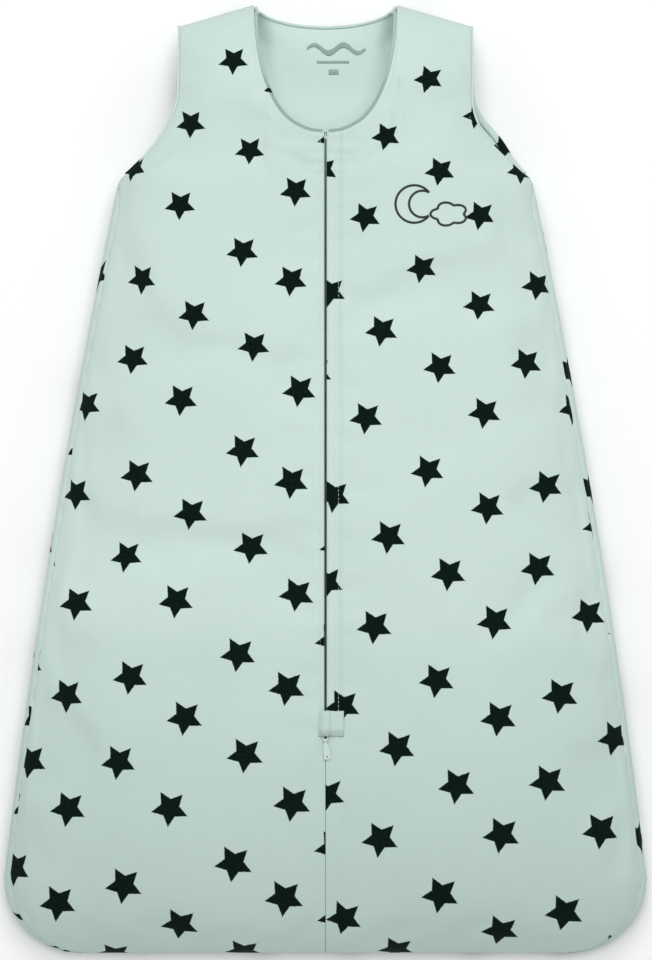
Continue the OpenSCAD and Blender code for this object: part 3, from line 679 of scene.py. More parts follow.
front_parts = {}
for side, nm, mat in ((1, "left", M_LEFT), (-1, "right", M_RIGHT)):
    Xs_, Ys_ = front_xy(Q_SIM, V_SIM)
    Ps = np.stack([Xs_, Ys_, zf(Xs_, Ys_)], 2)
    n, m = Xs_.shape
    # held along the zip, the seams and the bound edges
    wd = np.minimum.reduce([(Xs_ - LIP - 4) / 12.0, np.clip((half_w(Ys_) - Xs_), 0, None) / 12.0 + (np.arange(m) < m - 6)[None, :] * 0.5,
                            (Ys_ - Y_HEM) / 16.0, (Ys_[-1][None, :] - Ys_) / 20.0])
    pin = 1 - np.clip(wd, 0, 1) ** 0.7
    pin[0, :] = pin[-1, :] = 1
    pin[:, 0] = pin[:, -1] = 1
    D = simulate(Ps, pin, 11 if side > 0 else 29, cap=3.0)
    if side > 0:
        D[..., 0] -= arm_in(Ys_) * ss((Xs_ - (edge_w(Ys_) - 40)) / 40)
    front_parts[nm] = D
    ri, ci = frac_index(V_SIM, V_FIN), frac_index(Q_SIM, Q_FIN)
    Df = catmull(D, ri, ci)
    top = front_surface(Q_FIN, V_FIN, 0.0)
    X, Y = top[..., 0].copy(), top[..., 1].copy()
    nrm = normals(top)
    h = front_offset(X, Y, side)
    seam_t = np.maximum(0, (edge_w(Y) - seam_strip(Y)) - X)
    side_f = 1 - ss((Y - (Y_UA - 18)) / 14)
    steep = np.sqrt(1 + (np.gradient(top[..., 2], axis=1) / np.maximum(1e-3, np.gradient(X, axis=1))) ** 2)
    dist = np.clip(seam_t * np.minimum(steep, 6), 0, 60)
    h += edge_relief(dist, 1.3, 2.0) * side_f
    h += 0.35 * np.sin(Y / 7.7 * 2 * math.pi + 1.3 * np.sin(Y / 23.0)) * np.exp(-((dist - 5) / 6.0) ** 2) * side_f
    top = top + nrm * h[..., None] + Df
    depth = 1.25 + 3.2 * ss((X - 9) / 7)
    B1 = front_surface(Q_FIN, V_FIN, 1.25)
    B2 = front_surface(Q_FIN, V_FIN, 3.8)
    f = ((depth - 1.25) / 3.2)[..., None]
    bot = B1 * (1 - f) + B2 * f + Df
    # the cloth turns over at the neck
    xl, yl = X[-1], Y[-1]
    ne = xl < NECK_W + EDGE - 0.3
    xt = np.where(ne, xl * (NECK_W + 0.25) / (NECK_W + EDGE), xl)
    yt = np.where(ne, Y_TOP - (Y_TOP - yl) * (NECK_F + 0.25) / (NECK_F + EDGE), yl)
    fade = 1 - ss((xl - NECK_W + 6) / 8)
    rt, rb = [], []
    for i, ph in enumerate((24, 48, 72, 96)):
        sn, cs_ = math.sin(math.radians(ph)), math.cos(math.radians(ph))
        p = top[-1].copy()
        p[:, 0] += (xt - xl) * sn
        p[:, 1] += (yt - yl) * sn + (~ne) * 0.03 * (i + 1)
        p[:, 2] -= 2.0 * (1 - cs_) * fade
        q = bot[-1].copy()
        q[:, 0] += (xt - xl) * sn * 0.45
        q[:, 1] += (yt - yl) * sn * 0.45 + (~ne) * 0.03 * (i + 1)
        q[:, 2] = lerp(q[:, 2], np.minimum(p[:, 2] - 0.5, q[:, 2] + 1.2), sn * fade)
        rt.append(p)
        rb.append(q)
    top_n, bot_n = top, bot
    top = np.concatenate([top, np.stack(rt)], 0)
    bot = np.concatenate([bot, np.stack(rb)], 0)
    X = np.concatenate([X, np.repeat(X[-1:], 4, 0)], 0)
    Y = np.concatenate([Y, Y[-1:] + np.arange(1, 5)[:, None] * 0.8], 0)
    UV = np.stack([X, Y], 2)
    # unroll the flank so that the print isn't stretched
    arcx = np.cumsum(np.concatenate([np.zeros((X.shape[0], 1)), np.linalg.norm(np.diff(top, axis=1), axis=2)], 1), 1)
    far = X > (X[:, -1:] - 14)
    k = X.shape[1] - 1 - far[:, ::-1].argmin(1)
    rws = np.arange(X.shape[0])
    un = X[rws, k][:, None] + (arcx - arcx[rws, k][:, None])
    Xp = np.where(far, lerp(X, un, 0.5), X)
    UV[..., 0] = Xp
    arcy = np.cumsum(np.concatenate([np.zeros((1, X.shape[1])), np.linalg.norm(np.diff(top, axis=0), axis=2)], 0), 0)
    kh = int(np.searchsorted(Y[:, 0], Y_HEM + 24))
    Yp = np.where(np.arange(Y.shape[0])[:, None] < kh, lerp(Y, Y[kh:kh + 1] - (arcy[kh:kh + 1] - arcy), 0.5), Y)
    UP = print_uv(side * Xp, Yp, side)
    o = solid_grid("front_" + nm + "_panel", top, bot, [mat, M_LINING, M_NECK_SHADOW[side]], UV, mirror=side < 0, uv2=UP)
    mi = np.zeros(len(o.data.polygons), np.int32)
    o.data.polygons.foreach_get("material_index", mi)
    nr, nc = top.shape[0] - 1, top.shape[1] - 1
    fr, fc = np.arange(nr * nc) // nc, np.arange(nr * nc) % nc
    # the last rows at the neck take the painted-shadow tone
    mi[:nr * nc][(fr >= nr - 7) & ne[:-1][fc] & (X[-5][:-1][fc] > 2.0)] = 2
    o.data.polygons.foreach_set("material_index", mi)
    top = top_n
    front_parts[nm + "_top"] = top
    front_parts[nm + "_obj"] = o
    front_parts[nm + "_D"] = Df


# ------------------------------------------------------------------ back
def back_xy(r, v, d=0.0):
    R, V = np.meshgrid(r, v)
    w = edge_w(Y_TOP, d)
    a = np.clip(R / 0.45, 0, 1)
    xt = np.where(R < 0.45, (NECK_W + EDGE) * np.sin(a * math.pi / 2), lerp(NECK_W + EDGE, w, np.clip((R - 0.45) / 0.55, 0, 1)))
    yt = np.where(R < 0.45, np.minimum(back_neck_y(np.minimum(xt, NECK_W + EDGE), EDGE), Y_TOP - d - 0.4), ysh(xt) - d)
    yh = Y_HEM + d + (60 - d) * (1 - np.cos(np.clip(V, 0, 1) * math.pi / 2))
    yb = lerp(Y_HEM + 60, Y_UA, np.clip(V - 1, 0, 1))
    yu = lerp(Y_UA, yt, np.sin(np.clip(V - 2, 0, 1) * math.pi / 2))
    Y = np.where(V <= 1, yh, np.where(V <= 2, yb, yu))
    sb = 1 - (1 - R) ** 1.75
    S = lerp(sb, xt / w, ss((Y - 60) / np.maximum(1, yt - 60)))
    return S * edge_w(Y, d), Y


R_FIN = np.linspace(0, 1, 60)
VB_FIN = np.concatenate([np.linspace(0, 1, 16), np.linspace(1, 2, 100)[1:], np.linspace(2, 3, 40)[1:]])
R_SIM = np.linspace(0, 1, 32)
VB_SIM = np.concatenate([np.linspace(0, 1, 9), np.linspace(1, 2, 56)[1:], np.linspace(2, 3, 20)[1:]])


def mirror_cols(P):
    L = P[:, :0:-1].copy()
    L[..., 0] *= -1
    return np.concatenate([L, P], 1)


Xb, Yb = back_xy(R_SIM, VB_SIM)
Pb = mirror_cols(np.stack([Xb, Yb, zb(Xb, Yb)], 2))
wd = np.minimum.reduce([np.minimum(1, (np.abs(half_w(Pb[..., 1])) - np.abs(Pb[..., 0])) / 16.0), (Pb[..., 1] - Y_HEM) / 16.0,
                        (Pb[-1, :, 1][None, :] - Pb[..., 1]) / 18.0])
pin = 1 - np.clip(wd, 0, 1) ** 0.7
pin[0, :] = pin[-1, :] = 1
pin[:, 0] = pin[:, -1] = 1
Db = simulate(Pb, pin, 47, cap=3.5, push=-1.2)
Db[..., 2] = np.maximum(Db[..., 2], -(Pb[..., 2]))
Db[..., 0] += arm_out(Pb[..., 1]) * ss((Pb[..., 0] - (edge_w(Pb[..., 1]) - 38)) / 38)

idx_fin = np.interp(np.concatenate([-R_FIN[:0:-1], R_FIN]), np.concatenate([-R_SIM[:0:-1], R_SIM]), np.arange(2 * len(R_SIM) - 1))
Dbf = catmull(Db, frac_index(VB_SIM, VB_FIN), idx_fin)


def back_surface(d):
    X, Y = back_xy(R_FIN, VB_FIN, d)
    return mirror_cols(np.stack([X, Y, zb(X, Y, d)], 2))


F_STRIP = np.array([0.06, 0.2, 0.38, 0.56, 0.72, 0.86, 0.94, 1.0])


def strip_cols(d, P):
    """Columns that carry the back over the edge, on the +X side, as grids like P[:, -1:]."""
    Y = P[:, -1, 1][:, None] * np.ones((1, len(F_STRIP)))
    F = F_STRIP[None, :] * np.ones_like(Y)
    w = edge_w(Y, d)
    over = Y < Y_UA - 3
    X = np.where(over, w - seam_strip(Y) * F, w - 0.1 * F)
    Zt = zf(X, Y, d)
    base = P[:, -1, 2][:, None]
    Z = np.where(over, Zt, base + 0.04 * F)
    return np.stack([X, Y, Z], 2)


def with_strips(P, d):
    S = strip_cols(d, P)
    L = S[:, ::-1].copy()
    L[..., 0] *= -1
    return np.concatenate([L, P, S], 1)


topb = with_strips(back_surface(0.0), 0.0)
botb = with_strips(back_surface(3.8), 3.8)
padD = np.zeros((Dbf.shape[0], len(F_STRIP), 3))
Dfull = np.concatenate([padD, Dbf, padD], 1)
hb = np.zeros(topb.shape[:2])
k = len(F_STRIP)
stripw = seam_strip(topb[:, 0, 1])
steepf = np.maximum(2.5, 1)
for j in range(k):
    t = (1 - F_STRIP[j]) * stripw * steepf
    r = edge_relief(t, 1.2, 1.8) * (topb[:, 0, 1] < Y_UA - 3)
    hb[:, -(k - j)] += r
    hb[:, k - 1 - j] += r
yy = topb[..., 1]
xx = np.abs(topb[..., 0])
hb += 0.3 * np.sin(yy / 8.1 * 2 * math.pi + 1.1 * np.sin(yy / 19)) * np.exp(-((half_w(yy) - xx - 6) / 7.0) ** 2) * (xx < half_w(yy) - 1) * ss((topb[..., 2] - 0.5) / 3)
# outward from the bag: below for the back, above for the strips
nn = normals(topb)
core = np.stack([topb[..., 0] * 0.6, topb[..., 1] * 0.9, np.full_like(yy, 34.0)], 2)
sgn = np.sign(np.sum(nn * (topb - core), axis=2))
sgn[sgn == 0] = 1
topb2 = topb + nn * (sgn * hb)[..., None] + Dfull
topb2[..., 2] = np.maximum(topb2[..., 2], 0.02)
botb2 = botb + Dfull
UVb = topb[..., :2].copy()
arcb = np.cumsum(np.concatenate([np.zeros((topb.shape[0], 1)), np.linalg.norm(np.diff(topb, axis=1), axis=2)], 1), 1)
kc = topb.shape[1] // 2
UVb[..., 0] = arcb - arcb[:, kc:kc + 1]
# the outside of the back faces down, so the grid is turned over
back = solid_grid("back_panel", topb2[:, ::-1], botb2[:, ::-1], [M_BACK, M_LINING], UVb[:, ::-1], uv2=UVb[:, ::-1])

# ------------------------------------------------------------------ linings
QL = np.concatenate([np.linspace(0, QZ, 11), QZ + (1 - QZ) * np.linspace(0, 1, 112)[1:]])
VL = np.concatenate([np.linspace(0, 1, 20), np.linspace(1, 2, 64)[1:], np.linspace(2, 3, 48)[1:]])
linings = {}
for side, nm in ((1, "left"), (-1, "right")):
    D = catmull(front_parts[nm], frac_index(V_SIM, VL), frac_index(Q_SIM, QL))
    grids = []
    for d in (4.85, 5.55):
        X, Y = front_xy(QL, VL, LINX, d)
        P = np.stack([X, Y, zf(X, Y, d)], 2) + D
        P[..., 2] -= (d - 4.85) * 0.2 + 0.25 * (0.5 + 0.5 * np.sin(X / 23 + Y / 41 * side)) * ss((X - 8) / 10) * ss((Y - Y_HEM - 20) / 30) * ss((Y[-1][None, :] - 12 - Y) / 12)
        grids.append(P)
    UV = grids[0][..., :2]
    linings[nm] = solid_grid("front_" + nm + "_inner", grids[0], grids[1], [M_LINING], UV, mirror=side < 0)

RL = np.linspace(0, 1, 44)
VBL = np.concatenate([np.linspace(0, 1, 12), np.linspace(1, 2, 60)[1:], np.linspace(2, 3, 30)[1:]])
idx_l = np.interp(np.concatenate([-RL[:0:-1], RL]), np.concatenate([-R_SIM[:0:-1], R_SIM]), np.arange(2 * len(R_SIM) - 1))
Dl = catmull(Db, frac_index(VB_SIM, VBL), idx_l)
gl = []
for d in (4.85, 5.6):
    X, Y = back_xy(RL, VBL, d)
    P = mirror_cols(np.stack([X, Y, zb(X, Y, d)], 2)) + Dl
    soft = 0.5 * (0.5 + 0.5 * np.sin(P[..., 0] / 29 + 1.3 * np.sin(P[..., 1] / 47))) * ss((np.abs(half_w(P[..., 1])) - np.abs(P[..., 0]) - 10) / 20)
    soft = soft * ss((P[-1, :, 1][None, :] - 14 - P[..., 1]) / 14) * ss((P[..., 1] - Y_HEM - 15) / 20)
    P[..., 2] += soft
    # it climbs gently to the neck seam
    t = P[-1, :, 1][None, :] - P[..., 1]
    ramp = d + (P[-1, :, 2][None, :] - d) * np.clip(1 - t / 58.0, 0, 1) ** 1.4
    P[..., 2] += np.maximum(0, ramp - P[..., 2]) * (1 - ss((np.abs(P[..., 0]) - NECK_W + 16) / 14))
    gl.append(P)
gx, gy = gl[0][..., 0], gl[0][..., 1]
# painted light: how much the back lining is lightened, in a ring inside the neck opening and under the back neck
ring_in = ((np.abs(gx) / NECK_W) ** 2.3 + (np.clip(Y_TOP - gy, 0, None) / NECK_F) ** 2.3) ** (1 / 2.3)
neck_painted_light = np.maximum(ss((ring_in - 0.62) / 0.33), ss(1 - (back_neck_y(np.minimum(np.abs(gx), NECK_W)) - gy) / 30.0)) * (gy > Y_TOP - NECK_F - 20)
lining_back = solid_grid("back_inner", gl[1], gl[0], [M_LINING_B], gl[0][..., :2], uv2=np.stack([neck_painted_light, neck_painted_light * 0], -1) * 1000.0)
lining_top_surface = gl[1]


# ------------------------------------------------------------------ swept edges and threads
def tube_mesh(paths, name, mat, sides=6, uv=False):
    """paths: list of (points (n,3), radius (n,) or float). One mesh of closed tubes."""
    co, fa = [], []
    for pts, rad in paths:
        pts = np.asarray(pts, float)
        n = len(pts)
        rad = np.full(n, rad) if np.isscalar(rad) else np.asarray(rad, float)
        t = np.gradient(pts, axis=0)
        t /= np.maximum(np.linalg.norm(t, axis=1, keepdims=True), 1e-9)
        ref = np.array([0.13, 0.21, 0.97])
        a = np.cross(t, ref)
        a /= np.maximum(np.linalg.norm(a, axis=1, keepdims=True), 1e-9)
        b = np.cross(t, a)
        off = sum(len(c) for c in co)
        ang = np.arange(sides) / sides * 2 * math.pi
        ring = pts[:, None, :] + rad[:, None, None] * (np.cos(ang)[None, :, None] * a[:, None, :] + np.sin(ang)[None, :, None] * b[:, None, :])
        co.append(ring.reshape(-1, 3))
        for i in range(n - 1):
            for j in range(sides):
                k2 = (j + 1) % sides
                fa.append((off + i * sides + j, off + i * sides + k2, off + (i + 1) * sides + k2, off + (i + 1) * sides + j))
        fa.append(tuple(off + j for j in range(sides))[::-1])
        fa.append(tuple(off + (n - 1) * sides + j for j in range(sides)))
    me = bpy.data.meshes.new(name)
    me.from_pydata([tuple(c) for c in np.concatenate(co) * 0.001], [], fa)
    me.update()
    me.polygons.foreach_set("use_smooth", np.ones(len(me.polygons), bool))
    me.materials.append(mat)
    me.validate()
    bm_fix(me)
    o = bpy.data.objects.new(name, me)
    scene.collection.objects.link(o)
    return o


def bm_fix(me):
    import bmesh
    bm = bmesh.new()
    bm.from_mesh(me)
    bmesh.ops.recalc_face_normals(bm, faces=bm.faces)
    bm.to_mesh(me)
    bm.free()


class Surface:
    """Looks up the height on a finished panel from x, y."""
    def __init__(self, P, mirror=False):
        from mathutils.kdtree import KDTree
        self.P = P.copy()
        if mirror:
            self.P[..., 0] *= -1
        self.flat = self.P.reshape(-1, 3)
        self.kd = KDTree(len(self.flat))
        for i, c in enumerate(self.flat):
            self.kd.insert((c[0], c[1], 0.0), i)
        self.kd.balance()

    def z(self, x, y):
        near = self.kd.find_n((x, y, 0.0), 4)
        w = np.array([1.0 / (d + 1e-3) for _, _, d in near])
        zz = np.array([self.flat[i][2] for _, i, _ in near])
        return float((w * zz).sum() / w.sum())


surf = {"left": Surface(front_parts["left_top"]), "right": Surface(front_parts["right_top"], True)}


def stitch_line(pts, z_of, name, mat, length=2.5, gap=0.75, rad=0.20, sink=0.16):
    """Lock-stitch thread segments along a plan path (n, 2) on a surface."""
    pts = np.asarray(pts, float)
    seg = np.linalg.norm(np.diff(pts, axis=0), axis=1)
    s = np.concatenate([[0], np.cumsum(seg)])
    out = []
    pos = 0.6
    while pos + length < s[-1]:
        t = pos + np.array([0, 0.18, 0.5, 0.82, 1.0]) * length
        x, y = np.interp(t, s, pts[:, 0]), np.interp(t, s, pts[:, 1])
        z = np.array([z_of(a, b) for a, b in zip(x[[0, 2, 4]], y[[0, 2, 4]])])
        z = np.interp([0, .18, .5, .82, 1], [0, .5, 1], z)
        z = z + np.array([-0.30, 0.08, 0.14, 0.08, -0.30]) - sink
        out.append((np.stack([x, y, z], 1), np.array([0.6, 1, 1, 1, 0.6]) * rad))
        pos += length + gap
    return tube_mesh(out, name, mat, 5)


def rolled_edge(outer, inner, name, mat, ring=12, half=1.35, side=0):
    """A rolled, bound edge. outer and inner are matching (n,3) lines on the two faces; the roll wraps both."""
    outer, inner = np.asarray(outer, float), np.asarray(inner, float)
    n = len(outer)
    c = (outer + inner) / 2
    up = outer - inner
    hh = np.linalg.norm(up, axis=1, keepdims=True)
    up = up / np.maximum(hh, 1e-6)
    hh = hh / 2 + 0.42
    t = np.gradient(c, axis=0)
    t /= np.maximum(np.linalg.norm(t, axis=1, keepdims=True), 1e-9)
    b = np.cross(t, up)
    b /= np.maximum(np.linalg.norm(b, axis=1, keepdims=True), 1e-9)
    half = np.asarray(half, float).reshape(-1, 1, 1)
    ang = np.arange(ring) / ring * 2 * math.pi
    ca, sa = np.cos(ang), np.sin(ang)
    ex = np.sign(ca) * np.abs(ca) ** 0.7
    ey = np.sign(sa) * np.abs(sa) ** 0.8
    s = np.concatenate([[0], np.cumsum(np.linalg.norm(np.diff(c, axis=0), axis=1))])
    rip = 1 + 0.05 * np.sin(s / 4.3 * 2 * math.pi)[:, None, None] + 0.04 * np.sin(s / 11.0 * 2 * math.pi + 1)[:, None, None]
    P = c[:, None, :] + half * rip * ex[None, :, None] * b[:, None, :] + (hh[:, None, :] * ey[None, :, None]) * up[:, None, :]
    co = P.reshape(-1, 3)
    fa = []
    for i in range(n - 1):
        for j in range(ring):
            k2 = (j + 1) % ring
            fa.append((i * ring + j, i * ring + k2, (i + 1) * ring + k2, (i + 1) * ring + j))
    fa.append(tuple(range(ring))[::-1])
    fa.append(tuple((n - 1) * ring + j for j in range(ring)))
    per = np.cumsum(np.linalg.norm(np.roll(P[0], -1, axis=0) - P[0], axis=1))
    uv = np.stack([np.broadcast_to(per[None, :], (n, ring)), np.broadcast_to(s[:, None], (n, ring))], 2).reshape(-1, 2)
    lay = print_uv(co[:, 0], co[:, 1], side) if side else None
    o = make_mesh(name, co, fa, [mat], uv, uv2=lay)
    bm_fix(o.data)
    return o


# neck edge, front halves
def neck_path(x_from, n=90, a=1.15):
    th0 = math.asin((x_from / (NECK_W + a)) ** (2.3 / 2))
    th = np.linspace(th0, math.radians(88.3), n)
    x = (NECK_W + a) * np.sin(th) ** (2 / 2.3)
    y = Y_TOP - (NECK_F + a) * np.cos(th) ** (2 / 2.3)
    return x, y


pieces_left, pieces_right = [], []
bindings = {}
for side, nm in ((1, "left"), (-1, "right")):
    x, y = neck_path(LIP + 0.1)
    o3 = np.stack([x, y, zf(x, y, 0.0) - 1.5 * (1 - ss((x - 44) / 9))], 1)
    i3 = np.stack([x, y, zf(x, y, D_ALL)], 1)
    i3[:, 1] -= 1.2 * ss((y - 340) / 40)
    if side < 0:
        o3[:, 0] *= -1
        i3[:, 0] *= -1
    # the neck edge tube carries the painted-shadow tone
    bindings[nm] = rolled_edge(o3, i3, "neck_edge_" + nm, M_NECK_SHADOW[side], half=0.9 + 0.6 * ss((x - 44) / 9), side=side)
    yv = np.linspace(Y_UA + 3.5, Y_TOP - DROP - 2.5, 80)
    arms = []
    for kind, fz in (("front", zf), ("back", zb)):
        xw = half_w(yv) - 1.15
        xi = half_w(yv, D_ALL) - 1.15
        oo = np.stack([xw, yv, fz(xw, yv, 0.0)], 1)
        ii = np.stack([xi, yv, fz(xi, yv, D_ALL)], 1)
        if side > 0:
            sh = -arm_in(yv) if kind == "front" else arm_out(yv)
            oo[:, 0] += sh
            ii[:, 0] += sh
        arms.append((oo, ii))
    # one loop: up the front, over the shoulder, down the back
    oo = np.concatenate([arms[0][0], arms[1][0][::-1]])
    ii = np.concatenate([arms[0][1], arms[1][1][::-1]])
    # close gaps smoothly at the shoulder and the underarm
    def loop_fill(o, i):
        po, pi_ = [o[0]], [i[0]]
        for k in range(1, len(o)):
            gap = np.linalg.norm(o[k] - o[k - 1])
            if gap > 4:
                for f in np.linspace(0, 1, int(gap / 1.6) + 1)[1:-1]:
                    bulge = np.array([0, 3.2 * math.sin(math.pi * f), 0])
                    po.append(o[k - 1] * (1 - f) + o[k] * f + bulge)
                    pi_.append(i[k - 1] * (1 - f) + i[k] * f + bulge * 0.3)
            po.append(o[k])
            pi_.append(i[k])
        return np.array(po), np.array(pi_)
    oo, ii = loop_fill(oo, ii)
    f = np.linspace(0, 1, 9)[:, None]
    u0, u1 = oo[-1], oo[0]
    v0, v1 = ii[-1], ii[0]
    mid = u0 * (1 - f) + u1 * f - np.array([0, 2.6, 0]) * np.sin(math.pi * f)
    midi = v0 * (1 - f) + v1 * f - np.array([0, 0.8, 0]) * np.sin(math.pi * f)
    oo = np.concatenate([oo, mid[1:]])
    ii = np.concatenate([ii, midi[1:]])
    if side < 0:
        oo[:, 0] *= -1
        ii[:, 0] *= -1
    bindings["arm_" + nm] = rolled_edge(oo, ii, "armhole_edge_" + nm, M_ARM[side], side=side)

th = np.linspace(-math.radians(86), math.radians(86), 90)
x = (NECK_W + 1.15) * np.sin(th)
y = np.minimum(Y_TOP - (NECK_B + 1.15) * np.cos(th), Y_TOP - 1.0)
o3 = np.stack([x, y, zb(x, y, 0.0)], 1)
yi = np.minimum(y, Y_TOP - D_ALL - 0.6)
i3 = np.stack([x, yi, zb(x, yi, D_ALL)], 1)
bindings["neck_back"] = rolled_edge(i3, o3, "neck_edge_back", M_BIND)

# topstitching beside the zip and along the neck and armholes
zone = np.linspace(Y_Z0 + 4, Y_Z1 + 1.5, 240)
st = {}
for side, nm, off in ((1, "left", 10.4), (-1, "right", 4.2)):
    sf = surf[nm]
    line = np.stack([np.full_like(zone, side * off), zone], 1)
    st[nm] = [stitch_line(line, sf.z, "zip_stitch_" + nm, M_THREAD)]
    x, y = neck_path(LIP + 1.2, 120, 6.0)
    keep = y < Y_TOP - 4
    st[nm].append(stitch_line(np.stack([side * x[keep], y[keep]], 1), sf.z, "neck_stitch_" + nm, M_THREAD, 2.3, 0.8, 0.2))
    yv = np.linspace(Y_UA + 9, Y_TOP - DROP - 5, 90)
    xv = half_w(yv) - 6.2 - (arm_in(yv) if side > 0 else 0)
    st["arm_" + nm] = stitch_line(np.stack([side * xv, yv], 1), sf.z, "armhole_stitch_" + nm, M_THREAD, 2.3, 0.8, 0.2)
low = np.linspace(Y_HEM + 6, Y_Z0 - 14, 130)

# ------------------------------------------------------------------ zip
def tape_mesh(side, nm):
    ys = np.linspace(Y_Z0, Y_Z1 + 4.0, 244)
    xs = np.array([2.3, 3.2, 5, 7, 9, 11, 12])
    X, Y = np.meshgrid(xs, ys)
    # the end above the stop is turned in towards the middle
    X = X - 2.1 * ss((Y - Y_Z1 - 0.3) / 1.2) * ss((4.5 - X) / 2.4)
    Z = ZIPZ + 0.25 + 0.05 * np.sin(Y / 3.1) * (X > 4) - 0.9 * ss((Y - Y_Z1 + 0.5) / 1.0)
    top = np.stack([X, Y, Z], 2)
    bot = top - np.array([0, 0, 0.5])
    return solid_grid("zip_tape_" + nm, top, bot, [M_TAPE], top[..., :2], mirror=side < 0)


def coil_mesh(side, nm):
    pitch = 1.5
    n = int((Y_Z1 - Y_Z0 - 2) / pitch)
    loop = np.array([[2.9, 0.0, 0.62], [1.6, 0.02, 0.80], [0.2, 0.05, 0.84], [-0.42, 0.0, 0.5], [-0.55, -0.02, 0.0], [-0.42, 0.0, -0.5], [0.2, 0.05, -0.84], [1.6, 0.1, -0.80], [2.9, 0.2, -0.62]])
    rad = np.array([0.24, 0.28, 0.31, 0.36, 0.38, 0.36, 0.31, 0.28, 0.24])
    out = []
    for k in range(n):
        y = Y_Z0 + 1.2 + pitch * (k + (0.5 if side < 0 else 0.0))
        p = loop.copy()
        p[:, 0] *= side
        p[:, 1] += y
        p[:, 2] += ZIPZ
        out.append((p, rad))
    return tube_mesh(out, "zip_coil_" + nm, M_COIL, 5)


zipl = {nm: [tape_mesh(s, nm), coil_mesh(s, nm)] for s, nm in ((1, "left"), (-1, "right"))}

# garage: a cloth tunnel over the parked slider, sewn down on both sides
xs = np.concatenate([np.linspace(-5.6, -3.3, 7), np.linspace(-3.0, 3.9, 18), np.linspace(4.3, 14.7, 20)])
ys = np.linspace(Y_Z0 + 1.0, Y_Z0 + 21.5, 26)
X, Y = np.meshgrid(xs, ys)
fy = (Y - ys[0]) / (ys[-1] - ys[0])
rise = 2.75 * np.exp(-(np.abs(X - 0.2) / 3.9) ** 4) * (1 - 0.12 * ss((fy - 0.7) / 0.3))
Z = LOFT + 1.1 + rise + 0.3 * ss((X - 3.8) / 2) * (1 - ss((X - 13.2) / 1.6))
edge = np.minimum.reduce([X - xs[0], xs[-1] - X, Y - ys[0], ys[-1] - Y])
Z = Z - 0.55 * np.exp(-(edge / 0.5) ** 2) + 0.12 * np.sin(X * 1.3 + 2 * np.sin(Y * 0.5))
top = np.stack([X, Y, Z], 2)
bot = top.copy()
bot[..., 2] -= 0.8 - 0.15 * np.exp(-(edge / 0.6) ** 2)
garage = solid_grid("zip_garage_cloth", top, bot, [M_GARAGE_SHADED], top[..., :2])
gs = Surface(top)
g_st = [stitch_line(np.stack([np.full(30, -4.7), np.linspace(ys[0] + 0.6, ys[-1] - 0.6, 30)], 1), gs.z, "garage_stitch_a", M_THREAD, 2.1, 0.6, 0.24),
        stitch_line(np.stack([np.full(30, 13.6), np.linspace(ys[0] + 0.6, ys[-1] - 0.6, 30)], 1), gs.z, "garage_stitch_b", M_THREAD, 2.1, 0.6, 0.24)]
# bar tacks at the tunnel's mouth
tacks = []
for x0, x1 in ((-5.3, -3.5), (5.2, 14.2)):
    nst = int((x1 - x0) / 0.42)
    for i in range(nst):
        xa = x0 + (x1 - x0) * i / nst
        yb_ = ys[0] + 1.1
        p = []
        for t in (0, 0.25, 0.5, 0.75, 1):
            yy_ = yb_ + (t - 0.5) * 1.8
            xx_ = xa + 0.2 * t
            p.append((xx_, yy_, gs.z(xx_, yy_) + (0.18 if 0 < t < 1 else -0.2)))
        tacks.append((np.array(p), np.array([0.1, 0.2, 0.22, 0.2, 0.1])))
bartack = tube_mesh(tacks, "garage_bartacks", M_THREAD, 5)

# ------------------------------------------------------------------ embroidered motif, neck print
MX, MY = 84.0, Y_TOP - 160


def moon(t):
    if t < 0.6:
        a = math.radians(38 + (322 - 38) * t / 0.6)
        return -13 + 15 * math.cos(a), 1 + 15 * math.sin(a)
    a = math.radians(300 + (60 - 300) * (t - 0.6) / 0.4)
    return -6.5 + 10.65 * math.cos(a), 1 + 10.65 * math.sin(a)


def cloud(t):
    r = 0.75 + 0.25 * abs(math.sin(math.radians(t * 360 * 2.5)))
    a = math.radians(360 * t)
    return 15 + 15 * math.cos(a) * r, -7 + 9.5 * math.sin(a) * r


threads = []
for fn in (moon, cloud):
    pts = np.array([fn(t) for t in np.linspace(0, 1, 700)])
    seg = np.linalg.norm(np.diff(pts, axis=0), axis=1)
    s = np.concatenate([[0], np.cumsum(seg)])
    m_ = int(s[-1] / 0.40)
    for i in range(m_):
        a = s[-1] * i / m_
        px, py = np.interp(a, s, pts[:, 0]), np.interp(a, s, pts[:, 1])
        qx, qy = np.interp(min(a + 0.5, s[-1]), s, pts[:, 0]), np.interp(min(a + 0.5, s[-1]), s, pts[:, 1])
        wx, wy = np.interp(max(a - 0.5, 0), s, pts[:, 0]), np.interp(max(a - 0.5, 0), s, pts[:, 1])
        tx, ty = qx - wx, qy - wy
        l = math.hypot(tx, ty) or 1
        nx_, ny_ = -ty / l, tx / l
        nx_, ny_ = nx_ * 0.97 + tx / l * 0.24, ny_ * 0.97 + ty / l * 0.24
        p = []
        for f, up_ in ((-1, -0.25), (-0.8, 0.12), (0, 0.42), (0.8, 0.12), (1, -0.25)):
            x_, y_ = MX + px + nx_ * f * 1.02, MY + py + ny_ * f * 1.02
            p.append((x_, y_, up_))
        zc = surf["left"].z(MX + px, MY + py)
        p = np.array(p)
        slope = (surf["left"].z(MX + px + 2, MY + py) - surf["left"].z(MX + px - 2, MY + py)) / 4
        p[:, 2] += zc + slope * (p[:, 0] - MX - px) + 0.02
        threads.append((p, np.array([0.14, 0.21, 0.23, 0.21, 0.14])))
motif = tube_mesh(threads, "chest_motif_thread", M_EMB, 5)

ls = Surface(lining_top_surface)


def print_patch(fx, fy_, n, m, name_off):
    u, v = np.meshgrid(np.linspace(0, 1, m), np.linspace(0, 1, n))
    X, Y = fx(u, v), fy_(u, v)
    Z = np.vectorize(ls.z)(X, Y)
    return np.stack([X, Y, Z + 0.20], 2), np.stack([X, Y, Z + 0.04], 2)


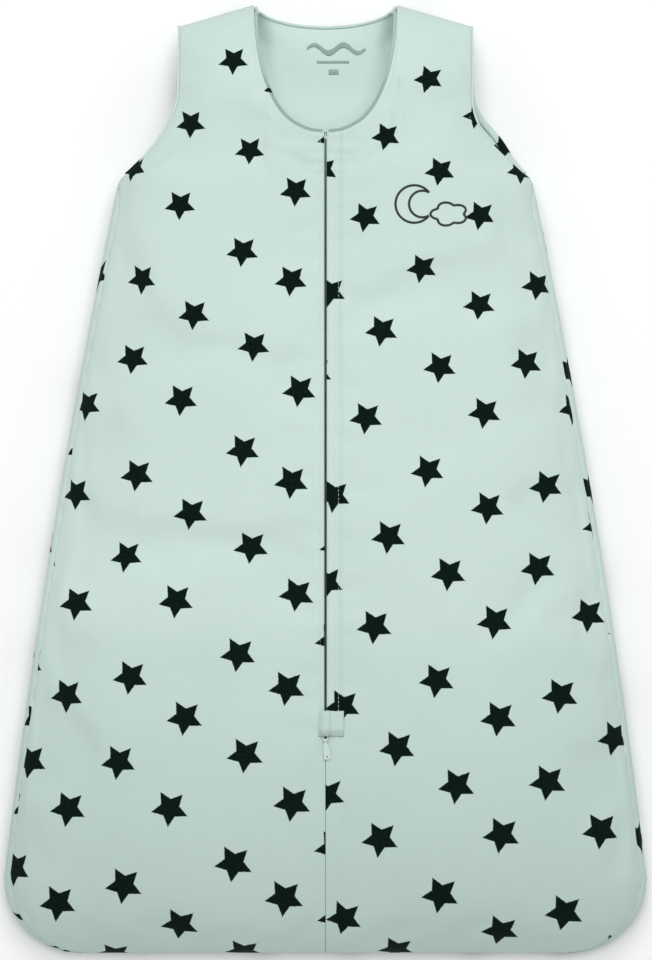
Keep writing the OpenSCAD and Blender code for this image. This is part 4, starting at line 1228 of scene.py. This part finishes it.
def merge(name, parts, mat):
    obs = []
    for i, (t_, b_) in enumerate(parts):
        obs.append(solid_grid(name + "_tmp%d" % i, t_, b_, [mat], t_[..., :2]))
    ctx = bpy.context
    for o in ctx.selected_objects:
        o.select_set(False)
    for o in obs:
        o.select_set(True)
    ctx.view_layer.objects.active = obs[0]
    bpy.ops.object.join()
    obs[0].name = name
    obs[0].data.name = name
    return obs[0]


yc = 344.0
prints = [print_patch(lambda u, v: -15 + 47 * u, lambda u, v: yc + 3.2 * np.sin(u * math.pi * 4) + (v - 0.5) * (2.6 + 2.4 * np.sin(u * math.pi)), 5, 60, 0),
          print_patch(lambda u, v: -7 + 26 * u, lambda u, v: yc - 10.5 + (v - 0.5) * 2.2, 4, 30, 0),
          print_patch(lambda u, v: 2.5 + 8 * u, lambda u, v: yc - 18.5 + (v - 0.5) * 4.5, 5, 12, 0)]
neck_print = merge("neck_print_mark", prints, M_PRINT)

# ------------------------------------------------------------------ what follows which body
def left_axis():
    n = math.hypot(1, FK)
    s = Vector((FX0, FY0, ZIPZ)) * 0.001
    return s, s + Vector((-1 / n, FK / n, 0)) * 0.0125


def right_axis():
    s, e = left_axis()
    return Vector((-s.x, s.y, s.z)), Vector((-e.x, e.y, e.z))


for nm, body, (s_, e_) in (("left", "left_lapel", left_axis()), ("right", "right_lapel", right_axis())):
    objs = [front_parts[nm + "_obj"], linings[nm], bindings[nm]] + zipl[nm] + st[nm]
    for o in objs:
        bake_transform(o)
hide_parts("front_left_outer", "front_left_wadding", "front_left_fold", "lapel_left_outer", "lapel_left_wadding")
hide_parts("front_right_outer", "front_right_wadding", "front_right_fold", "lapel_right_outer", "lapel_right_wadding")
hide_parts("front_left_lining", "lapel_left_lining")
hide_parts("front_right_lining", "lapel_right_lining")
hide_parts("neck_binding_left", "lapel_left_binding")
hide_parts("neck_binding_right", "lapel_right_binding")
for nm in ("left", "right"):
    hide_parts("zip_tape_%s_lower" % nm, "zip_tape_%s_upper" % nm)
    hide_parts("zip_coil_%s_lower" % nm, "zip_coil_%s_upper" % nm)
    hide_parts("armhole_binding_" + nm)
for o in (back, lining_back, bindings["arm_left"], bindings["arm_right"], bindings["neck_back"], st["arm_left"], st["arm_right"],
          garage, bartack, motif, neck_print) + tuple(g_st):
    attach(o, "bag")
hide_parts("back_outer", "back_wadding")
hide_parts("back_lining")
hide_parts("neck_binding_back")
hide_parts("zip_garage")
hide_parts("chest_embroidery")
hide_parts("neck_print")

# CAD nodes that stay get their finish and softened edges
for n, mat, w in (("zip_slider", M_METAL, 0.0003), ("zip_pull_tab", M_TAB, 0.0003), ("zip_top_stop_left", M_STOP, 0.0003),
                  ("zip_top_stop_right", M_STOP, 0.0003), ("zip_bottom_stop", M_STOP, 0.0004), ("care_label", M_LABEL, 0.0001),
                  ("shoulder_tape_left", M_STAY, 0.0001), ("shoulder_tape_right", M_STAY, 0.0001)):
    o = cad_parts[n]
    o.data.materials.clear()
    o.data.materials.append(mat)
    bv = o.modifiers.new("soften", "BEVEL")
    bv.width = w
    bv.segments = 2
    bv.limit_method = "ANGLE"
    bv.angle_limit = math.radians(40)

# ------------------------------------------------------------------ floor, light, camera
def floor_mat():
    m, nt, b = new_mat("pale_floor")
    b.inputs["Base Color"].default_value = (0.96, 0.96, 0.96, 1)
    b.inputs["Roughness"].default_value = 0.9
    b.inputs["Specular IOR Level"].default_value = 0.1
    return m


fl = make_mesh("floor", [(-6000, -6000, -0.1), (6000, -6000, -0.1), (6000, 6000, -0.1), (-6000, 6000, -0.1)], [(0, 1, 2, 3)], [floor_mat()], smooth=False)

w = bpy.data.worlds.new("studio")
scene.world = w
w.use_nodes = True
w.node_tree.nodes["Background"].inputs[0].default_value = (1, 1, 1, 1)
w.node_tree.nodes["Background"].inputs[1].default_value = 0.54


def area(name, loc, target, size, power, col=(1, 1, 1)):
    l = bpy.data.lights.new(name, "AREA")
    l.shape = "DISK"
    l.size = size
    l.energy = power
    l.color = col
    o = bpy.data.objects.new(name, l)
    scene.collection.objects.link(o)
    o.location = loc
    o.rotation_euler = (Vector(target) - Vector(loc)).to_track_quat("-Z", "Y").to_euler()
    return o


area("key", (0.06, 1.25, 1.9), (0, 0.0, 0), 1.2, 14)
sun = bpy.data.lights.new("front", "SUN")
sun.energy = 0.9
sun.angle = math.radians(28)
so = bpy.data.objects.new("front", sun)
scene.collection.objects.link(so)
so.rotation_euler = (math.radians(-9), math.radians(1), 0)

cam = bpy.data.cameras.new("camera")
cam.type = "ORTHO"
cam.ortho_scale = 0.768
co = bpy.data.objects.new("camera", cam)
scene.collection.objects.link(co)
co.location = (0.0004, -0.0008, 3.0)
co.rotation_euler = (0, 0, math.radians(0.0))
scene.camera = co
